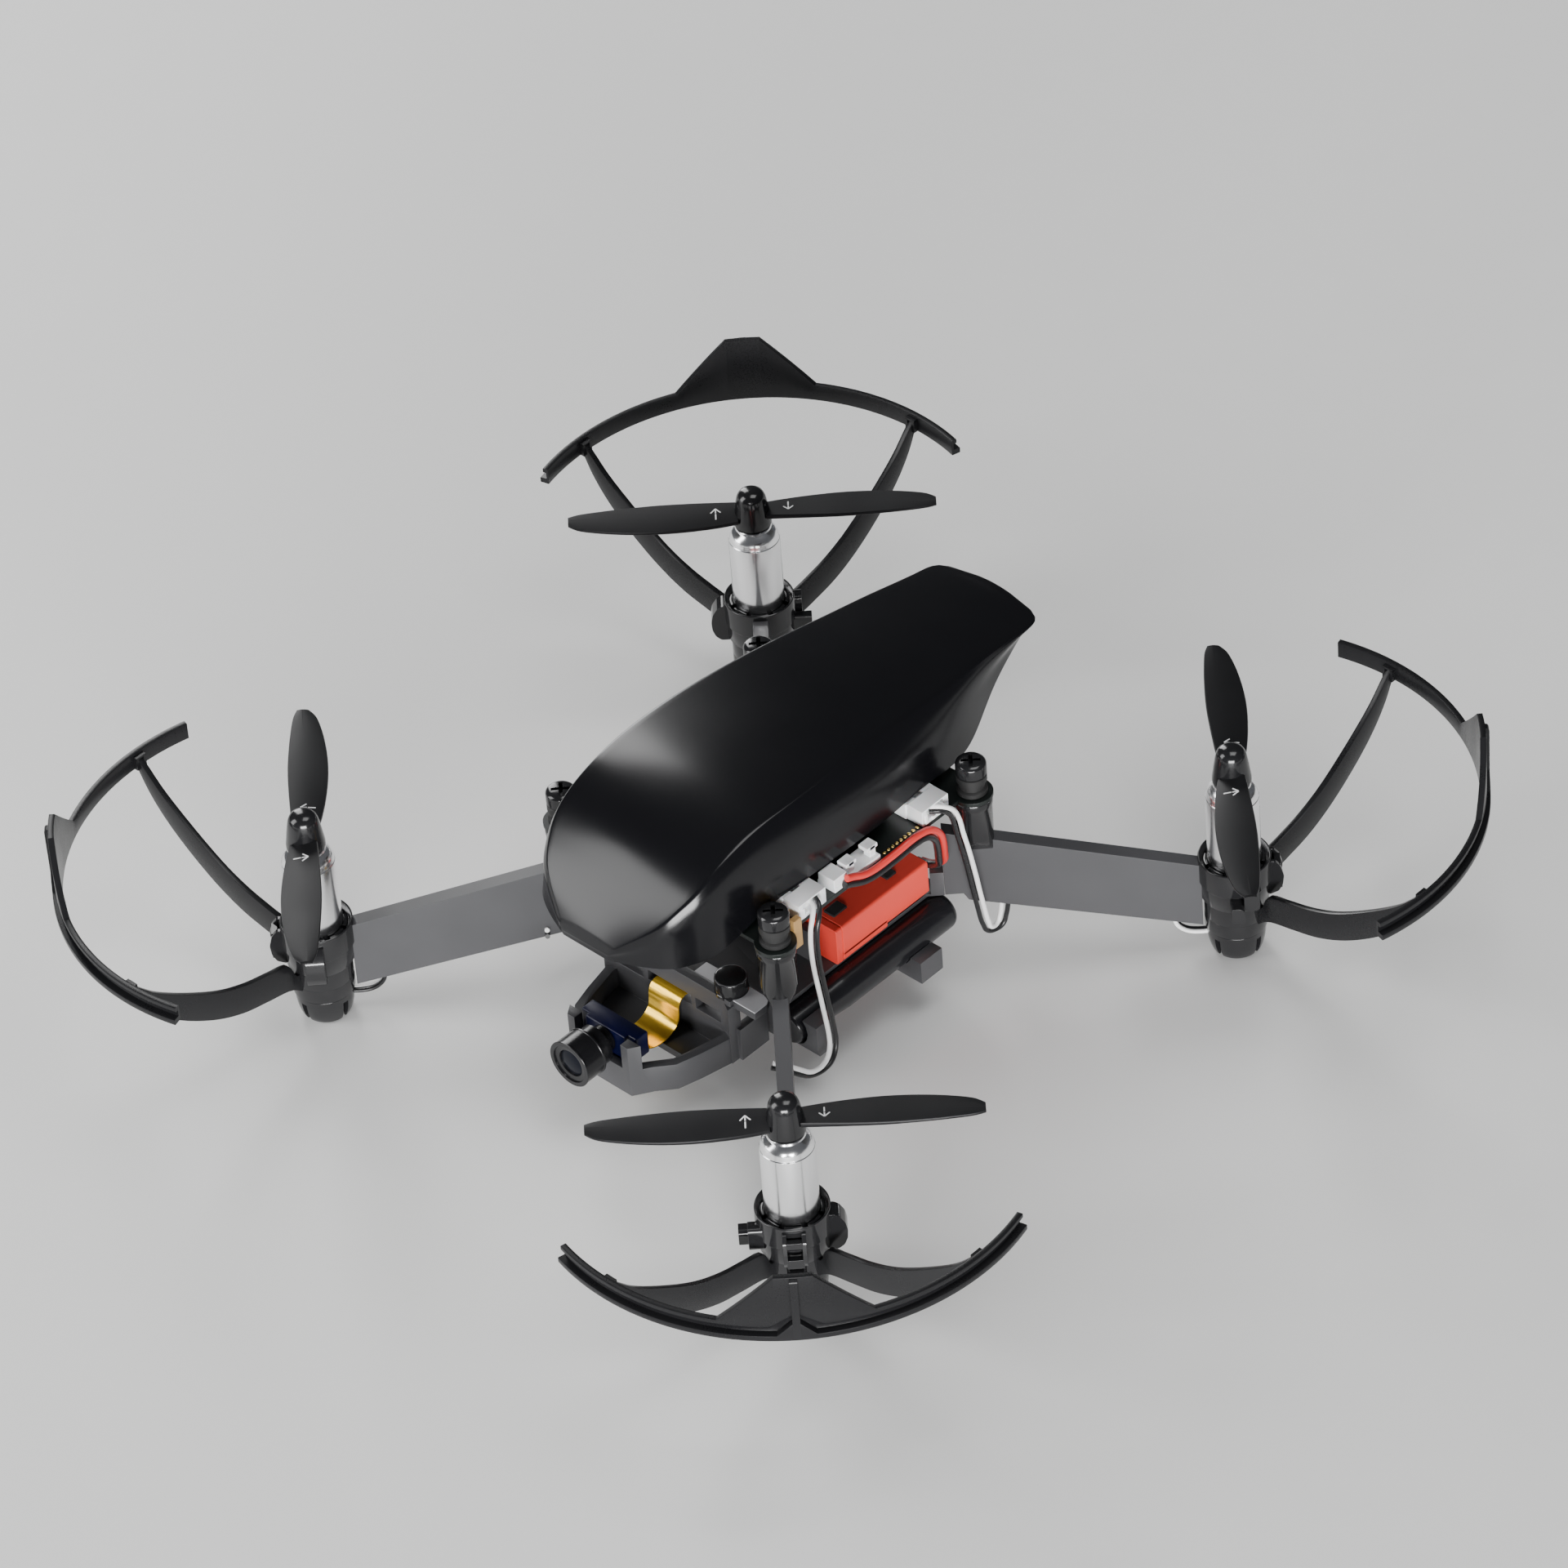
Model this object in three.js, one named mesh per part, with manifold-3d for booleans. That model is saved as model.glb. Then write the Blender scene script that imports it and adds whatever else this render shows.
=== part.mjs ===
// Mini palm drone: an X quadcopter with clip-on propeller guards, a hood-shaped
// canopy, a camera in the nose and a lithium cell slung under the circuit board.
// Millimetres. +Z up, nose towards -Y. z = 0 is the plane of the four motor feet.

import * as THREE from 'three';
import { mergeVertices } from 'three/addons/utils/BufferGeometryUtils.js';
import Module from 'manifold-3d';

const wasm = await Module();
wasm.setup();

// ---- driving dimensions ---------------------------------------------------

const MOTOR_OFFSET = 50.92;      // motor axes at (+-, +-) this
const SCREW_OFFSET = 22.45;      // canopy screws at (+-, +-) this
const MOTOR_REACH = MOTOR_OFFSET * Math.SQRT2;
const SCREW_REACH = SCREW_OFFSET * Math.SQRT2;
const CLEAR = 0.3;               // usual gap between neighbours
const SNUG = 0.05;               // gap of a pressed or snapped fit

// motor, 8.5 mm by 20 mm coreless
const CAN_R = 4.25;
const CAN_BOTTOM = 11.7;
const CAN_TOP = 31.7;
const CAN_WALL = 0.4;
const SHAFT_R = 0.5;
const ROTOR_R = 3.3;

// propeller
const HUB_BOTTOM = 34.0;
const HUB_TOP = 40.7;
const BLADE_Z = 36.1;
const TIP_R = 29.85;

// propeller guard
const RING_IN = 38.4;
const RING_WALL = 1.0;
const FLANGE_OUT = 40.0;
const RING_BOTTOM = 29.4;
const RING_TOP = 32.4;
const PEAK_TOP = 41.5;
const RING_HALF_ANGLE = THREE.MathUtils.degToRad(59.7);
const SPOKE_ANGLE = THREE.MathUtils.degToRad(45);

// motor mount at the arm's end
const MOUNT_R = 5.5;
const MOUNT_BOTTOM = 11.0;
const MOUNT_TOP = 18.7;
const SLEEVE_R = 4.15;
const SLEEVE_BORE = 3.4;
const COLLAR_R = 4.98;
const COLLAR_BOTTOM = 5.0;
const COLLAR_TOP = 10.9;
const CROWN_TOP_R = 4.73;
const CROWN_FOOT_R = 4.04;
const CROWN_TOP = 4.9;

// arm
const ARM_T = 2.5;
const ARM_ROOT = 26.5;
const ROOT_BOTTOM = 15.5;        // the root clears the side tube
const armTop = (r) => 35.3 - 0.264 * r;
const armBottom = (r) => 21.3 - 0.2375 * r;
const BOSS_R = 3.0;
const LEAD_HOLE_REACH = 36.1;    // where the motor lead goes up into the arm
const TAIL_HOLE_REACH = 62.2;    // where it comes out again beside the mount

// circuit board
const BOARD_BOTTOM = 34.8;
const BOARD_TOP = 35.6;
const BOARD_HALF_X = 22.4;
const BOARD_HALF_Y = 24.4;
const BATTERY_HEADER_Y = -3.6;

// battery, 7 x 21 x 36 mm cell
const CELL = { x: 18.0, y0: -5.1, y1: 16.1, z0: 15.75, z1: 22.7 };

// tray under the battery
const TRAY_HALF_X = 17.4;
const TRAY_FRONT = -17.2;
const TRAY_BACK = 19.0;
const TRAY_TOP = 15.7;
const TRAY_BOTTOM = 14.2;
const TAB_END = ARM_ROOT - SNUG; // corner tabs that carry the arms
const FLOOR_Z = 6.8;             // lowest level of tray and camera bracket

// side tubes
const TUBE_R = 3.2;
const TUBE_X = 18.65;
const TUBE_Z = 11.9;
const TUBE_FRONT = -17.8;
const TUBE_BACK = 18.6;

// camera
const LENS_Z = 14.4;
const LENS_FRONT = -46.9;
const BRACKET_FRONT = -40.4;
const BRACKET_BACK = -22.6;

// the four corners; left is +X
const CORNERS = [
  { name: 'front_left', sx: 1, sy: -1 },
  { name: 'front_right', sx: -1, sy: -1 },
  { name: 'rear_left', sx: 1, sy: 1 },
  { name: 'rear_right', sx: -1, sy: 1 },
];

// ---- materials --------------------------------------------------------------

const material = (color, roughness, metalness = 0) =>
  new THREE.MeshStandardMaterial({ color, roughness, metalness });

const MATTE_BLACK = material(0x1b1b1d, 0.55);
const GLOSS_BLACK = material(0x08080a, 0.2);
const PROP_BLACK = material(0x141416, 0.45);
const MOTOR_STEEL = material(0xd8d8da, 0.15, 1);
const SHAFT_STEEL = material(0xb0b2b5, 0.3, 1);
const SCREW_BLACK = material(0x202022, 0.3, 1);
const RUBBER = material(0x101011, 0.8);
const BOARD_INK = material(0x0b0d0e, 0.5);
const NYLON = material(0xf2f2f4, 0.5);
const CELL_RED = material(0xd8281c, 0.45);
const CAMERA_BLUE = material(0x0a0f38, 0.4);
const LENS_GLASS = material(0x10141c, 0.05);
const GOLD_FILM = material(0xd9a520, 0.3, 0.8);
const WIRE_GREY = material(0xd0d0d0, 0.5);
const WIRE_RED = material(0xc8281c, 0.5);

// ---- solid helpers ------------------------------------------------------------

function toManifold(geometry) {
  const bare = geometry.clone();
  bare.deleteAttribute('normal');
  bare.deleteAttribute('uv');
  const merged = mergeVertices(bare, 1e-4);
  const mesh = new wasm.Mesh({
    numProp: 3,
    vertProperties: new Float32Array(merged.attributes.position.array),
    triVerts: new Uint32Array(merged.index.array),
  });
  return new wasm.Manifold(mesh);
}

function toGeometry(manifold) {
  const mesh = manifold.getMesh();
  const geometry = new THREE.BufferGeometry();
  const position = new THREE.BufferAttribute(new Float32Array(mesh.vertProperties), 3);
  geometry.setAttribute('position', position);
  geometry.setIndex(new THREE.BufferAttribute(new Uint32Array(mesh.triVerts), 1));
  geometry.computeVertexNormals();
  return geometry;
}

const join = (...pieces) => pieces.map(asManifold).reduce((a, b) => a.add(b));
const cut = (body, ...tools) => tools.map(asManifold).reduce((a, b) => a.subtract(b), asManifold(body));
const common = (a, b) => asManifold(a).intersect(asManifold(b));

function asManifold(thing) {
  return thing.isBufferGeometry ? toManifold(thing) : thing;
}

function box(x0, x1, y0, y1, z0, z1) {
  const geometry = new THREE.BoxGeometry(x1 - x0, y1 - y0, z1 - z0);
  return geometry.translate((x0 + x1) / 2, (y0 + y1) / 2, (z0 + z1) / 2);
}

function disc(radius, z0, z1, { x = 0, y = 0, sides = 16, top = radius } = {}) {
  const geometry = new THREE.CylinderGeometry(top, radius, z1 - z0, sides);
  return geometry.rotateX(Math.PI / 2).translate(x, y, (z0 + z1) / 2);
}

function rod(radius, y0, y1, { x = 0, z = 0, sides = 16 } = {}) {
  const geometry = new THREE.CylinderGeometry(radius, radius, y1 - y0, sides);
  return geometry.translate(x, (y0 + y1) / 2, z);
}

// profile of radius, height turned about the z axis; either winding is accepted
function lathe(profile, sides = 20) {
  const points = profile.map(([r, z]) => new THREE.Vector2(r, z));
  if (THREE.ShapeUtils.area(points) < 0) points.reverse();
  return new THREE.LatheGeometry(points, sides).rotateX(Math.PI / 2);
}

// the same turned about the y axis: profile of radius, y
const latheAlongY = (profile, sides) => lathe(profile, sides).rotateX(-Math.PI / 2);

const shapeOf = (points) => new THREE.Shape(points.map(([x, y]) => new THREE.Vector2(x, y)));

// plan outline in x, y raised from z0 to z1
function slab(points, z0, z1, holes = []) {
  const shape = shapeOf(points);
  shape.holes = holes.map((hole) => new THREE.Path(hole.map(([x, y]) => new THREE.Vector2(x, y))));
  return new THREE.ExtrudeGeometry(shape, { depth: z1 - z0, bevelEnabled: false }).translate(0, 0, z0);
}

// side outline in x, z spread from y0 to y1
function plate(points, y0, y1) {
  const geometry = new THREE.ExtrudeGeometry(shapeOf(points), { depth: y1 - y0, bevelEnabled: false });
  return geometry.rotateX(Math.PI / 2).translate(0, y1, 0);
}

// front outline in y, z spread from x0 to x1
function bulkhead(points, x0, x1) {
  const geometry = new THREE.ExtrudeGeometry(shapeOf(points), { depth: x1 - x0, bevelEnabled: false });
  return geometry.rotateX(Math.PI / 2).rotateZ(Math.PI / 2).translate(x0, 0, 0);
}

function arcPoints(radius, from, to, steps) {
  const points = [];
  for (let i = 0; i <= steps; i += 1) {
    const angle = from + ((to - from) * i) / steps;
    points.push([radius * Math.cos(angle), radius * Math.sin(angle)]);
  }
  return points;
}

const ringSector = (inner, outer, halfAngle, steps) => [
  ...arcPoints(outer, -halfAngle, halfAngle, steps),
  ...arcPoints(inner, halfAngle, -halfAngle, steps),
];

// skin through equal rings of points, closed by a fan at each end
function loft(rings) {
  const count = rings[0].length;
  const positions = rings.flat().flat();
  const index = [];
  for (let i = 0; i < rings.length - 1; i += 1) {
    for (let j = 0; j < count; j += 1) {
      const a = i * count + j;
      const b = i * count + ((j + 1) % count);
      index.push(a, b, a + count, b, b + count, a + count);
    }
  }
  const addCap = (start, flip) => {
    for (let j = 1; j < count - 1; j += 1) {
      if (flip) index.push(start, start + j + 1, start + j);
      else index.push(start, start + j, start + j + 1);
    }
  };
  addCap(0, true);
  addCap((rings.length - 1) * count, false);
  const geometry = new THREE.BufferGeometry();
  geometry.setAttribute('position', new THREE.Float32BufferAttribute(positions, 3));
  geometry.setIndex(index);
  return geometry;
}

// round cable along a hand-chosen route
function tube(route, radius, sides = 6, step = 3) {
  const curve = new THREE.CatmullRomCurve3(route.map((p) => new THREE.Vector3(...p)), false, 'centripetal');
  const section = new THREE.Shape();
  for (let i = 0; i < sides; i += 1) {
    const angle = (2 * Math.PI * i) / sides;
    const point = [radius * Math.cos(angle), radius * Math.sin(angle)];
    if (i === 0) section.moveTo(...point);
    else section.lineTo(...point);
  }
  const steps = Math.ceil(curve.getLength() / step);
  return new THREE.ExtrudeGeometry(section, { steps, bevelEnabled: false, extrudePath: curve });
}

// ---- scene graph ----------------------------------------------------------------

const drone = new THREE.Group();
drone.name = 'mini_palm_drone';

function addPart(name, solid, finish, parent = drone) {
  const geometry = solid.isBufferGeometry ? solid : toGeometry(solid);
  const mesh = new THREE.Mesh(geometry, finish);
  mesh.name = name;
  parent.add(mesh);
  return mesh;
}

// ---- motor corner: everything on one motor axis, local +X pointing outward ---------

function motorCan() {
  const shell = lathe([
    [0.8, CAN_TOP + 1.9], [2.9, CAN_TOP + 1.9], [3.05, CAN_TOP + 1.4], [3.85, CAN_TOP + 0.5],
    [CAN_R - 0.1, CAN_TOP - 0.4], [CAN_R, CAN_TOP - 0.75], [CAN_R, CAN_BOTTOM], [CAN_R - CAN_WALL, CAN_BOTTOM],
    [CAN_R - CAN_WALL, CAN_TOP - 0.9], [2.9, CAN_TOP + 0.5], [0.8, CAN_TOP + 0.5], [0.8, CAN_TOP + 1.9],
  ]);
  const bearing = lathe([
    [0.6, CAN_TOP - 1.2], [1.5, CAN_TOP - 1.2], [1.5, CAN_TOP + 1.0], [0.6, CAN_TOP + 1.0],
    [0.6, CAN_TOP - 1.2],
  ]);
  return join(shell, bearing);
}

function motorEndCap() {
  const plug = disc(CAN_R - CAN_WALL - SNUG, CAN_BOTTOM + 0.05, CAN_BOTTOM + 1.6);
  const boss = disc(1.4, CAN_BOTTOM - 0.9, CAN_BOTTOM + 0.2, { sides: 12 });
  const bore = disc(SHAFT_R + 0.1, CAN_BOTTOM + 0.4, CAN_BOTTOM + 3, { sides: 12 });
  return cut(join(plug, boss), bore);
}

function motorRotor() {
  return lathe([
    [0, CAN_BOTTOM + 0.6], [SHAFT_R, CAN_BOTTOM + 0.6], [SHAFT_R, CAN_BOTTOM + 2.2],
    [ROTOR_R, CAN_BOTTOM + 2.2], [ROTOR_R, CAN_BOTTOM + 15.5], [ROTOR_R - 0.5, CAN_BOTTOM + 15.5],
    [ROTOR_R - 0.5, CAN_BOTTOM + 3.2], [SHAFT_R, CAN_BOTTOM + 3.2], [SHAFT_R, HUB_TOP - 2.6],
    [0, HUB_TOP - 2.6],
  ], 12);
}

// blade stations: reach, leading edge ahead of the radial line, trailing edge behind it, pitch in degrees
const BLADE = [
  [1.6, 2.0, 2.2, 9], [5.5, 2.3, 2.9, 8], [10, 2.6, 3.4, 6.5], [15, 2.8, 3.6, 5], [20, 2.7, 3.3, 4],
  [25, 2.4, 2.5, 3], [28.4, 2.0, 1.5, 2.5], [TIP_R, 1.5, 0.4, 2],
];
const BLADE_THICK = 0.9;

// spin +1 turns clockwise seen from above
function propellerBlade(spin) {
  const around = 8;
  const rings = BLADE.map(([reach, lead, trail, degrees]) => {
    const chord = lead + trail;
    const middle = (trail - lead) / 2;
    const thick = BLADE_THICK * (1 - 0.5 * (reach / TIP_R));
    const pitch = THREE.MathUtils.degToRad(degrees);
    const ring = [];
    for (let j = 0; j < around; j += 1) {
      const angle = (spin * 2 * Math.PI * j) / around;
      const u = middle + (chord / 2) * Math.cos(angle);
      const v = (thick / 2) * Math.sin(angle);
      const y = u * Math.cos(pitch) + v * Math.sin(pitch);
      ring.push([reach, spin * y, BLADE_Z - u * Math.sin(pitch) + v * Math.cos(pitch)]);
    }
    return ring;
  });
  return loft(rings);
}

function propeller(spin) {
  const hub = lathe([
    [0, HUB_BOTTOM], [3.12, HUB_BOTTOM], [2.78, HUB_TOP - 3.6], [2.4, HUB_TOP - 1.5],
    [1.95, HUB_TOP - 0.62], [1.1, HUB_TOP - 0.13], [0, HUB_TOP],
  ]);
  const bore = disc(SHAFT_R + SNUG, HUB_BOTTOM - 1, HUB_TOP - 2.5, { sides: 12 });
  const blade = toManifold(propellerBlade(spin));
  return cut(join(hub, blade, blade.rotate([0, 0, 180])), bore);
}

// upright blade that sweeps from the guard's collar up to its ring
const SPOKE_EDGE = [
  [4.5, 6.6], [7, 8.6], [12, 9.8], [17, 11.0], [22.6, 13.5], [29.1, 17.9], [33.6, 22.0], [36.6, 26.0], [38.6, 29.6],
  [39.2, 32.0], [37, 30.6], [33.5, 26.8], [27, 21.9], [20.5, 17.9], [15.5, 15.9], [11, 14.8], [7.2, 13.8],
  [6.1, 12.6], [6.1, 10.8], [4.5, 10.6],
];
const SPOKE_T = 1.0;

function guardSpoke(side) {
  const blade = plate(SPOKE_EDGE, -SPOKE_T / 2, SPOKE_T / 2);
  return toManifold(blade.rotateZ(side * SPOKE_ANGLE));
}

function guardSocket(side) {
  const socket = box(RING_IN - 2.2, RING_IN + 0.5, -1.1, 1.1, RING_BOTTOM, RING_TOP - 0.6);
  return toManifold(socket.rotateZ(side * SPOKE_ANGLE));
}

function guardPeak() {
  const wall = slab(ringSector(RING_IN, RING_IN + RING_WALL, THREE.MathUtils.degToRad(20), 8), RING_BOTTOM, 60);
  const window = bulkhead([
    [-11.6, RING_BOTTOM - 1], [11.6, RING_BOTTOM - 1], [11.6, RING_TOP],
    [2.85, PEAK_TOP], [-2.85, PEAK_TOP], [-11.6, RING_TOP],
  ], 30, 45);
  return common(wall, window);
}

function propGuard() {
  const wall = slab(ringSector(RING_IN, RING_IN + RING_WALL, RING_HALF_ANGLE, 18), RING_BOTTOM, RING_TOP);
  const flange = slab(ringSector(RING_IN + 0.4, FLANGE_OUT, RING_HALF_ANGLE, 18), RING_BOTTOM, RING_BOTTOM + 0.9);
  const ribFace = RING_IN + RING_WALL;
  const rib = box(ribFace - 0.4, ribFace + 0.6, -0.65, 0.65, RING_BOTTOM, PEAK_TOP - 0.2);
  const foot = slab([
    [ribFace - 0.4, -0.65], [FLANGE_OUT - 0.05, -2.9], [FLANGE_OUT - 0.05, 2.9], [ribFace - 0.4, 0.65],
  ], RING_BOTTOM, RING_BOTTOM + 2.2);
  const collar = disc(COLLAR_R, COLLAR_BOTTOM, COLLAR_TOP);
  const bore = disc(SLEEVE_R + SNUG, COLLAR_BOTTOM - 1, COLLAR_TOP + 6);
  const latch = box(3, 8, -1.5, 1.5, 7.6, 9.6);
  const spokes = [-1, 1].map((side) => join(guardSpoke(side), guardSocket(side)));
  const body = join(wall, flange, guardPeak(), rib, foot, collar, ...spokes);
  return cut(body, bore, latch);
}

// ---- arm: blade, boss for the canopy screw, motor mount ---------------------------

function motorMount() {
  const barrel = disc(MOUNT_R, MOUNT_BOTTOM, MOUNT_TOP);
  const lip = disc(MOUNT_R + 0.35, MOUNT_BOTTOM + 3.2, MOUNT_BOTTOM + 4.4);
  const sleeve = disc(SLEEVE_R, CROWN_TOP - 0.5, MOUNT_BOTTOM + 0.5);
  const crown = disc(CROWN_FOOT_R, 0, CROWN_TOP, { top: CROWN_TOP_R });
  const lugs = [-1, 1].map((side) => box(-1.4, 1.4, side * 4.4 - 1.0, side * 6.4 + 1.0, 13.4, 16.6));
  const wings = [-1, 1].map((side) => box(1.2, 3.6, side * 5.2 - 1.6, side * 5.2 + 1.6, 14.2, 17.8));
  const canBore = disc(CAN_R + 0.1, CAN_BOTTOM - SNUG, MOUNT_TOP + 1, { sides: 24 });
  const lowBore = disc(SLEEVE_BORE, -1, CAN_BOTTOM + 1);
  const slots = [];
  for (let k = 0; k < 4; k += 1) {
    const slot = box(2.5, 6.5, -0.45, 0.45, -1, CROWN_TOP - 1.2);
    slots.push(slot.rotateZ(Math.PI / 4 + (k * Math.PI) / 2));
  }
  const entry = box(-6.5, -2.5, -0.9, 0.9, 2.4, CROWN_TOP);
  return { solid: join(barrel, lip, sleeve, crown, ...lugs, ...wings), tools: [canBore, lowBore, entry, ...slots] };
}

// local frame of the arm: +X outward from the drone's centre line
function arm() {
  const end = MOTOR_REACH - COLLAR_R - CLEAR;
  const blade = plate([
    [ARM_ROOT, ROOT_BOTTOM], [29.4, ROOT_BOTTOM], [30.2, armBottom(30.2)], [end, armBottom(end)],
    [end, MOUNT_BOTTOM + 0.2], [end + 1.2, MOUNT_BOTTOM + 0.2], [end + 1.2, armTop(end + 1.2)],
    [ARM_ROOT, armTop(ARM_ROOT)],
  ], -ARM_T / 2, ARM_T / 2);
  const boss = disc(BOSS_R, armTop(SCREW_REACH) - 0.3, BOARD_BOTTOM - SNUG, { x: SCREW_REACH });
  const fillet = disc(ARM_T / 2, armTop(SCREW_REACH) - 2.5, armTop(SCREW_REACH) - 0.3, { x: SCREW_REACH, top: BOSS_R });
  const pilot = disc(1.0, BOARD_BOTTOM - 8, BOARD_BOTTOM + 1, { x: SCREW_REACH, sides: 12 });
  const mount = motorMount();
  const seat = (thing) => asManifold(thing).translate([MOTOR_REACH, 0, 0]);
  const leadHole = box(LEAD_HOLE_REACH - 1.1, LEAD_HOLE_REACH + 1.1, -2, 2, 11, 15.2);
  const tailHole = box(TAIL_HOLE_REACH - 1.3, TAIL_HOLE_REACH + 1.3, -0.8, 0.8, 5, 9.2);
  const body = join(blade, boss, fillet, seat(mount.solid));
  return cut(body, ...mount.tools.map(seat), pilot, leadHole, tailHole);
}

// ---- canopy --------------------------------------------------------------------------

// stations along the length: y, foot half-width, foot z, waist half-width, waist z,
// crest half-width, crest z, ridge z
const CANOPY_STATIONS = [
  [-41.0, 4.6, 34.5, 4.5, 35.2, 4.4, 35.9, 36.2],
  [-39.4, 8.6, 34.5, 8.2, 36.2, 7.4, 38.3, 39.1],
  [-37.2, 12.9, 34.5, 12.1, 37.8, 11.0, 41.2, 42.2],
  [-34.4, 16.4, 34.6, 15.6, 39.7, 14.2, 44.3, 45.3],
  [-29.8, 17.4, 34.9, 16.9, 41.2, 15.2, 47.7, 48.6],
  [-24.4, 17.6, 35.9, 17.6, 43.2, 15.4, 49.9, 50.7],
  [-18.7, 18.6, 38.7, 18.2, 44.8, 15.5, 51.3, 52.0],
  [-12.7, 18.9, 38.6, 18.7, 45.6, 15.8, 51.6, 52.4],
  [-3.8, 19.3, 38.8, 18.9, 46.0, 15.7, 51.5, 52.4],
  [7.5, 19.3, 38.8, 18.6, 45.6, 14.8, 51.0, 51.9],
  [16.3, 18.6, 38.9, 17.7, 44.6, 14.3, 50.0, 50.8],
  [25.3, 17.4, 37.0, 16.3, 43.2, 13.5, 48.8, 49.6],
  [31.0, 15.6, 37.2, 14.8, 42.8, 12.9, 48.1, 48.9],
  [38.0, 12.6, 40.0, 12.5, 43.2, 12.1, 47.4, 48.1],
  [45.0, 11.0, 43.0, 11.2, 44.4, 11.3, 46.2, 46.9],
  [51.2, 9.4, 44.4, 10.2, 44.9, 10.6, 45.5, 46.2],
  [52.4, 7.0, 44.6, 7.6, 45.1, 8.0, 45.6, 46.3],
  [53.0, 3.2, 44.8, 3.6, 45.2, 3.9, 45.8, 46.2],
];
const CANOPY_WALL = 1.0;

function canopySection([y, footX, footZ, waistX, waistZ, crestX, crestZ, ridgeZ], inset) {
  const shoulder = Math.min(1.1, (crestZ - waistZ) * 0.3);
  const half = [
    [footX - inset, inset > 0 ? footZ - 6 : footZ],
    [waistX - inset, waistZ],
    [crestX + shoulder * 0.9 - inset, crestZ - shoulder],
    [crestX - inset * 0.6, crestZ + shoulder * 0.4 - inset * 0.8],
    [crestX * 0.5, (crestZ + 2 * ridgeZ) / 3 - inset],
    [0, ridgeZ - inset],
  ];
  const right = half.map(([x, z]) => [x, y, z]);
  const left = half.slice(0, -1).reverse().map(([x, z]) => [-x, y, z]);
  return [...right, ...left];
}

function canopyBody(inset) {
  const stations = CANOPY_STATIONS.map((station, i) => {
    const last = CANOPY_STATIONS.length - 1;
    const pull = i === 0 ? inset : i === last ? -inset : 0;
    return [station[0] + pull, ...station.slice(1)];
  });
  return toManifold(loft(stations.map((station) => canopySection(station, inset)).reverse()));
}

function canopy() {
  const shell = cut(canopyBody(0), canopyBody(CANOPY_WALL));
  const scoops = [];
  for (const sx of [-1, 1]) {
    for (const sy of [-1, 1]) {
      scoops.push(disc(3.1, BOARD_TOP - 3, 43.5, { x: sx * SCREW_OFFSET, y: sy * SCREW_OFFSET }));
    }
  }
  return cut(shell, ...scoops);
}

// ---- circuit board, screws, grommets ---------------------------------------------------

function mainBoard() {
  const plateBody = slab([
    [-BOARD_HALF_X, -BOARD_HALF_Y], [BOARD_HALF_X, -BOARD_HALF_Y],
    [BOARD_HALF_X, BOARD_HALF_Y], [-BOARD_HALF_X, BOARD_HALF_Y],
  ], BOARD_BOTTOM, BOARD_TOP);
  const ears = [];
  const holes = [];
  for (const sx of [-1, 1]) {
    for (const sy of [-1, 1]) {
      const at = { x: sx * SCREW_OFFSET, y: sy * SCREW_OFFSET };
      ears.push(disc(3.3, BOARD_BOTTOM, BOARD_TOP, at));
      holes.push(disc(1.15, BOARD_BOTTOM - 1, BOARD_TOP + 1, { ...at, sides: 12 }));
    }
  }
  const shield = box(-8, 8, 2, 20, BOARD_TOP - 0.1, BOARD_TOP + 3.0);
  const sensor = box(-3, 3, -8, -2, BOARD_TOP - 0.1, BOARD_TOP + 1.0);
  const capacitors = [-1, 1].map((sx) =>
    box(sx * 20.6 - 0.9, sx * 20.6 + 0.9, -19.9, -18.0, BOARD_TOP - 0.1, BOARD_TOP + 2.9));
  const header = batteryHeader().translate([0, BATTERY_HEADER_Y, BOARD_TOP - 0.1]);
  return cut(join(plateBody, ...ears, shield, sensor, ...capacitors, header), ...holes);
}

function canopyScrew() {
  const head = lathe([
    [0, 39.3], [2.47, 39.3], [2.47, 41.2], [2.1, 41.65], [0, 41.9],
  ], 12);
  const shank = disc(0.95, 28.4, 39.5, { sides: 12 });
  const cross = [0, 1].map((k) => box(-1.5, 1.5, -0.32, 0.32, 40.9, 43).rotateZ((k * Math.PI) / 2 + Math.PI / 4));
  return cut(join(head, shank), ...cross);
}

function grommet() {
  return lathe([
    [1.1, BOARD_TOP + 0.05], [2.45, BOARD_TOP + 0.05], [2.45, 39.2], [1.1, 39.2], [1.1, BOARD_TOP + 0.05],
  ], 12);
}

// ---- frame tray, camera bracket -----------------------------------------------------------

const roundedBox = (x0, x1, y0, y1, r) => {
  const corner = (cx, cy, from) => arcPoints(r, from, from + Math.PI / 2, 4).map(([x, y]) => [cx + x, cy + y]);
  return [
    ...corner(x1 - r, y1 - r, 0), ...corner(x0 + r, y1 - r, Math.PI / 2),
    ...corner(x0 + r, y0 + r, Math.PI), ...corner(x1 - r, y0 + r, 1.5 * Math.PI),
  ];
};

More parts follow.
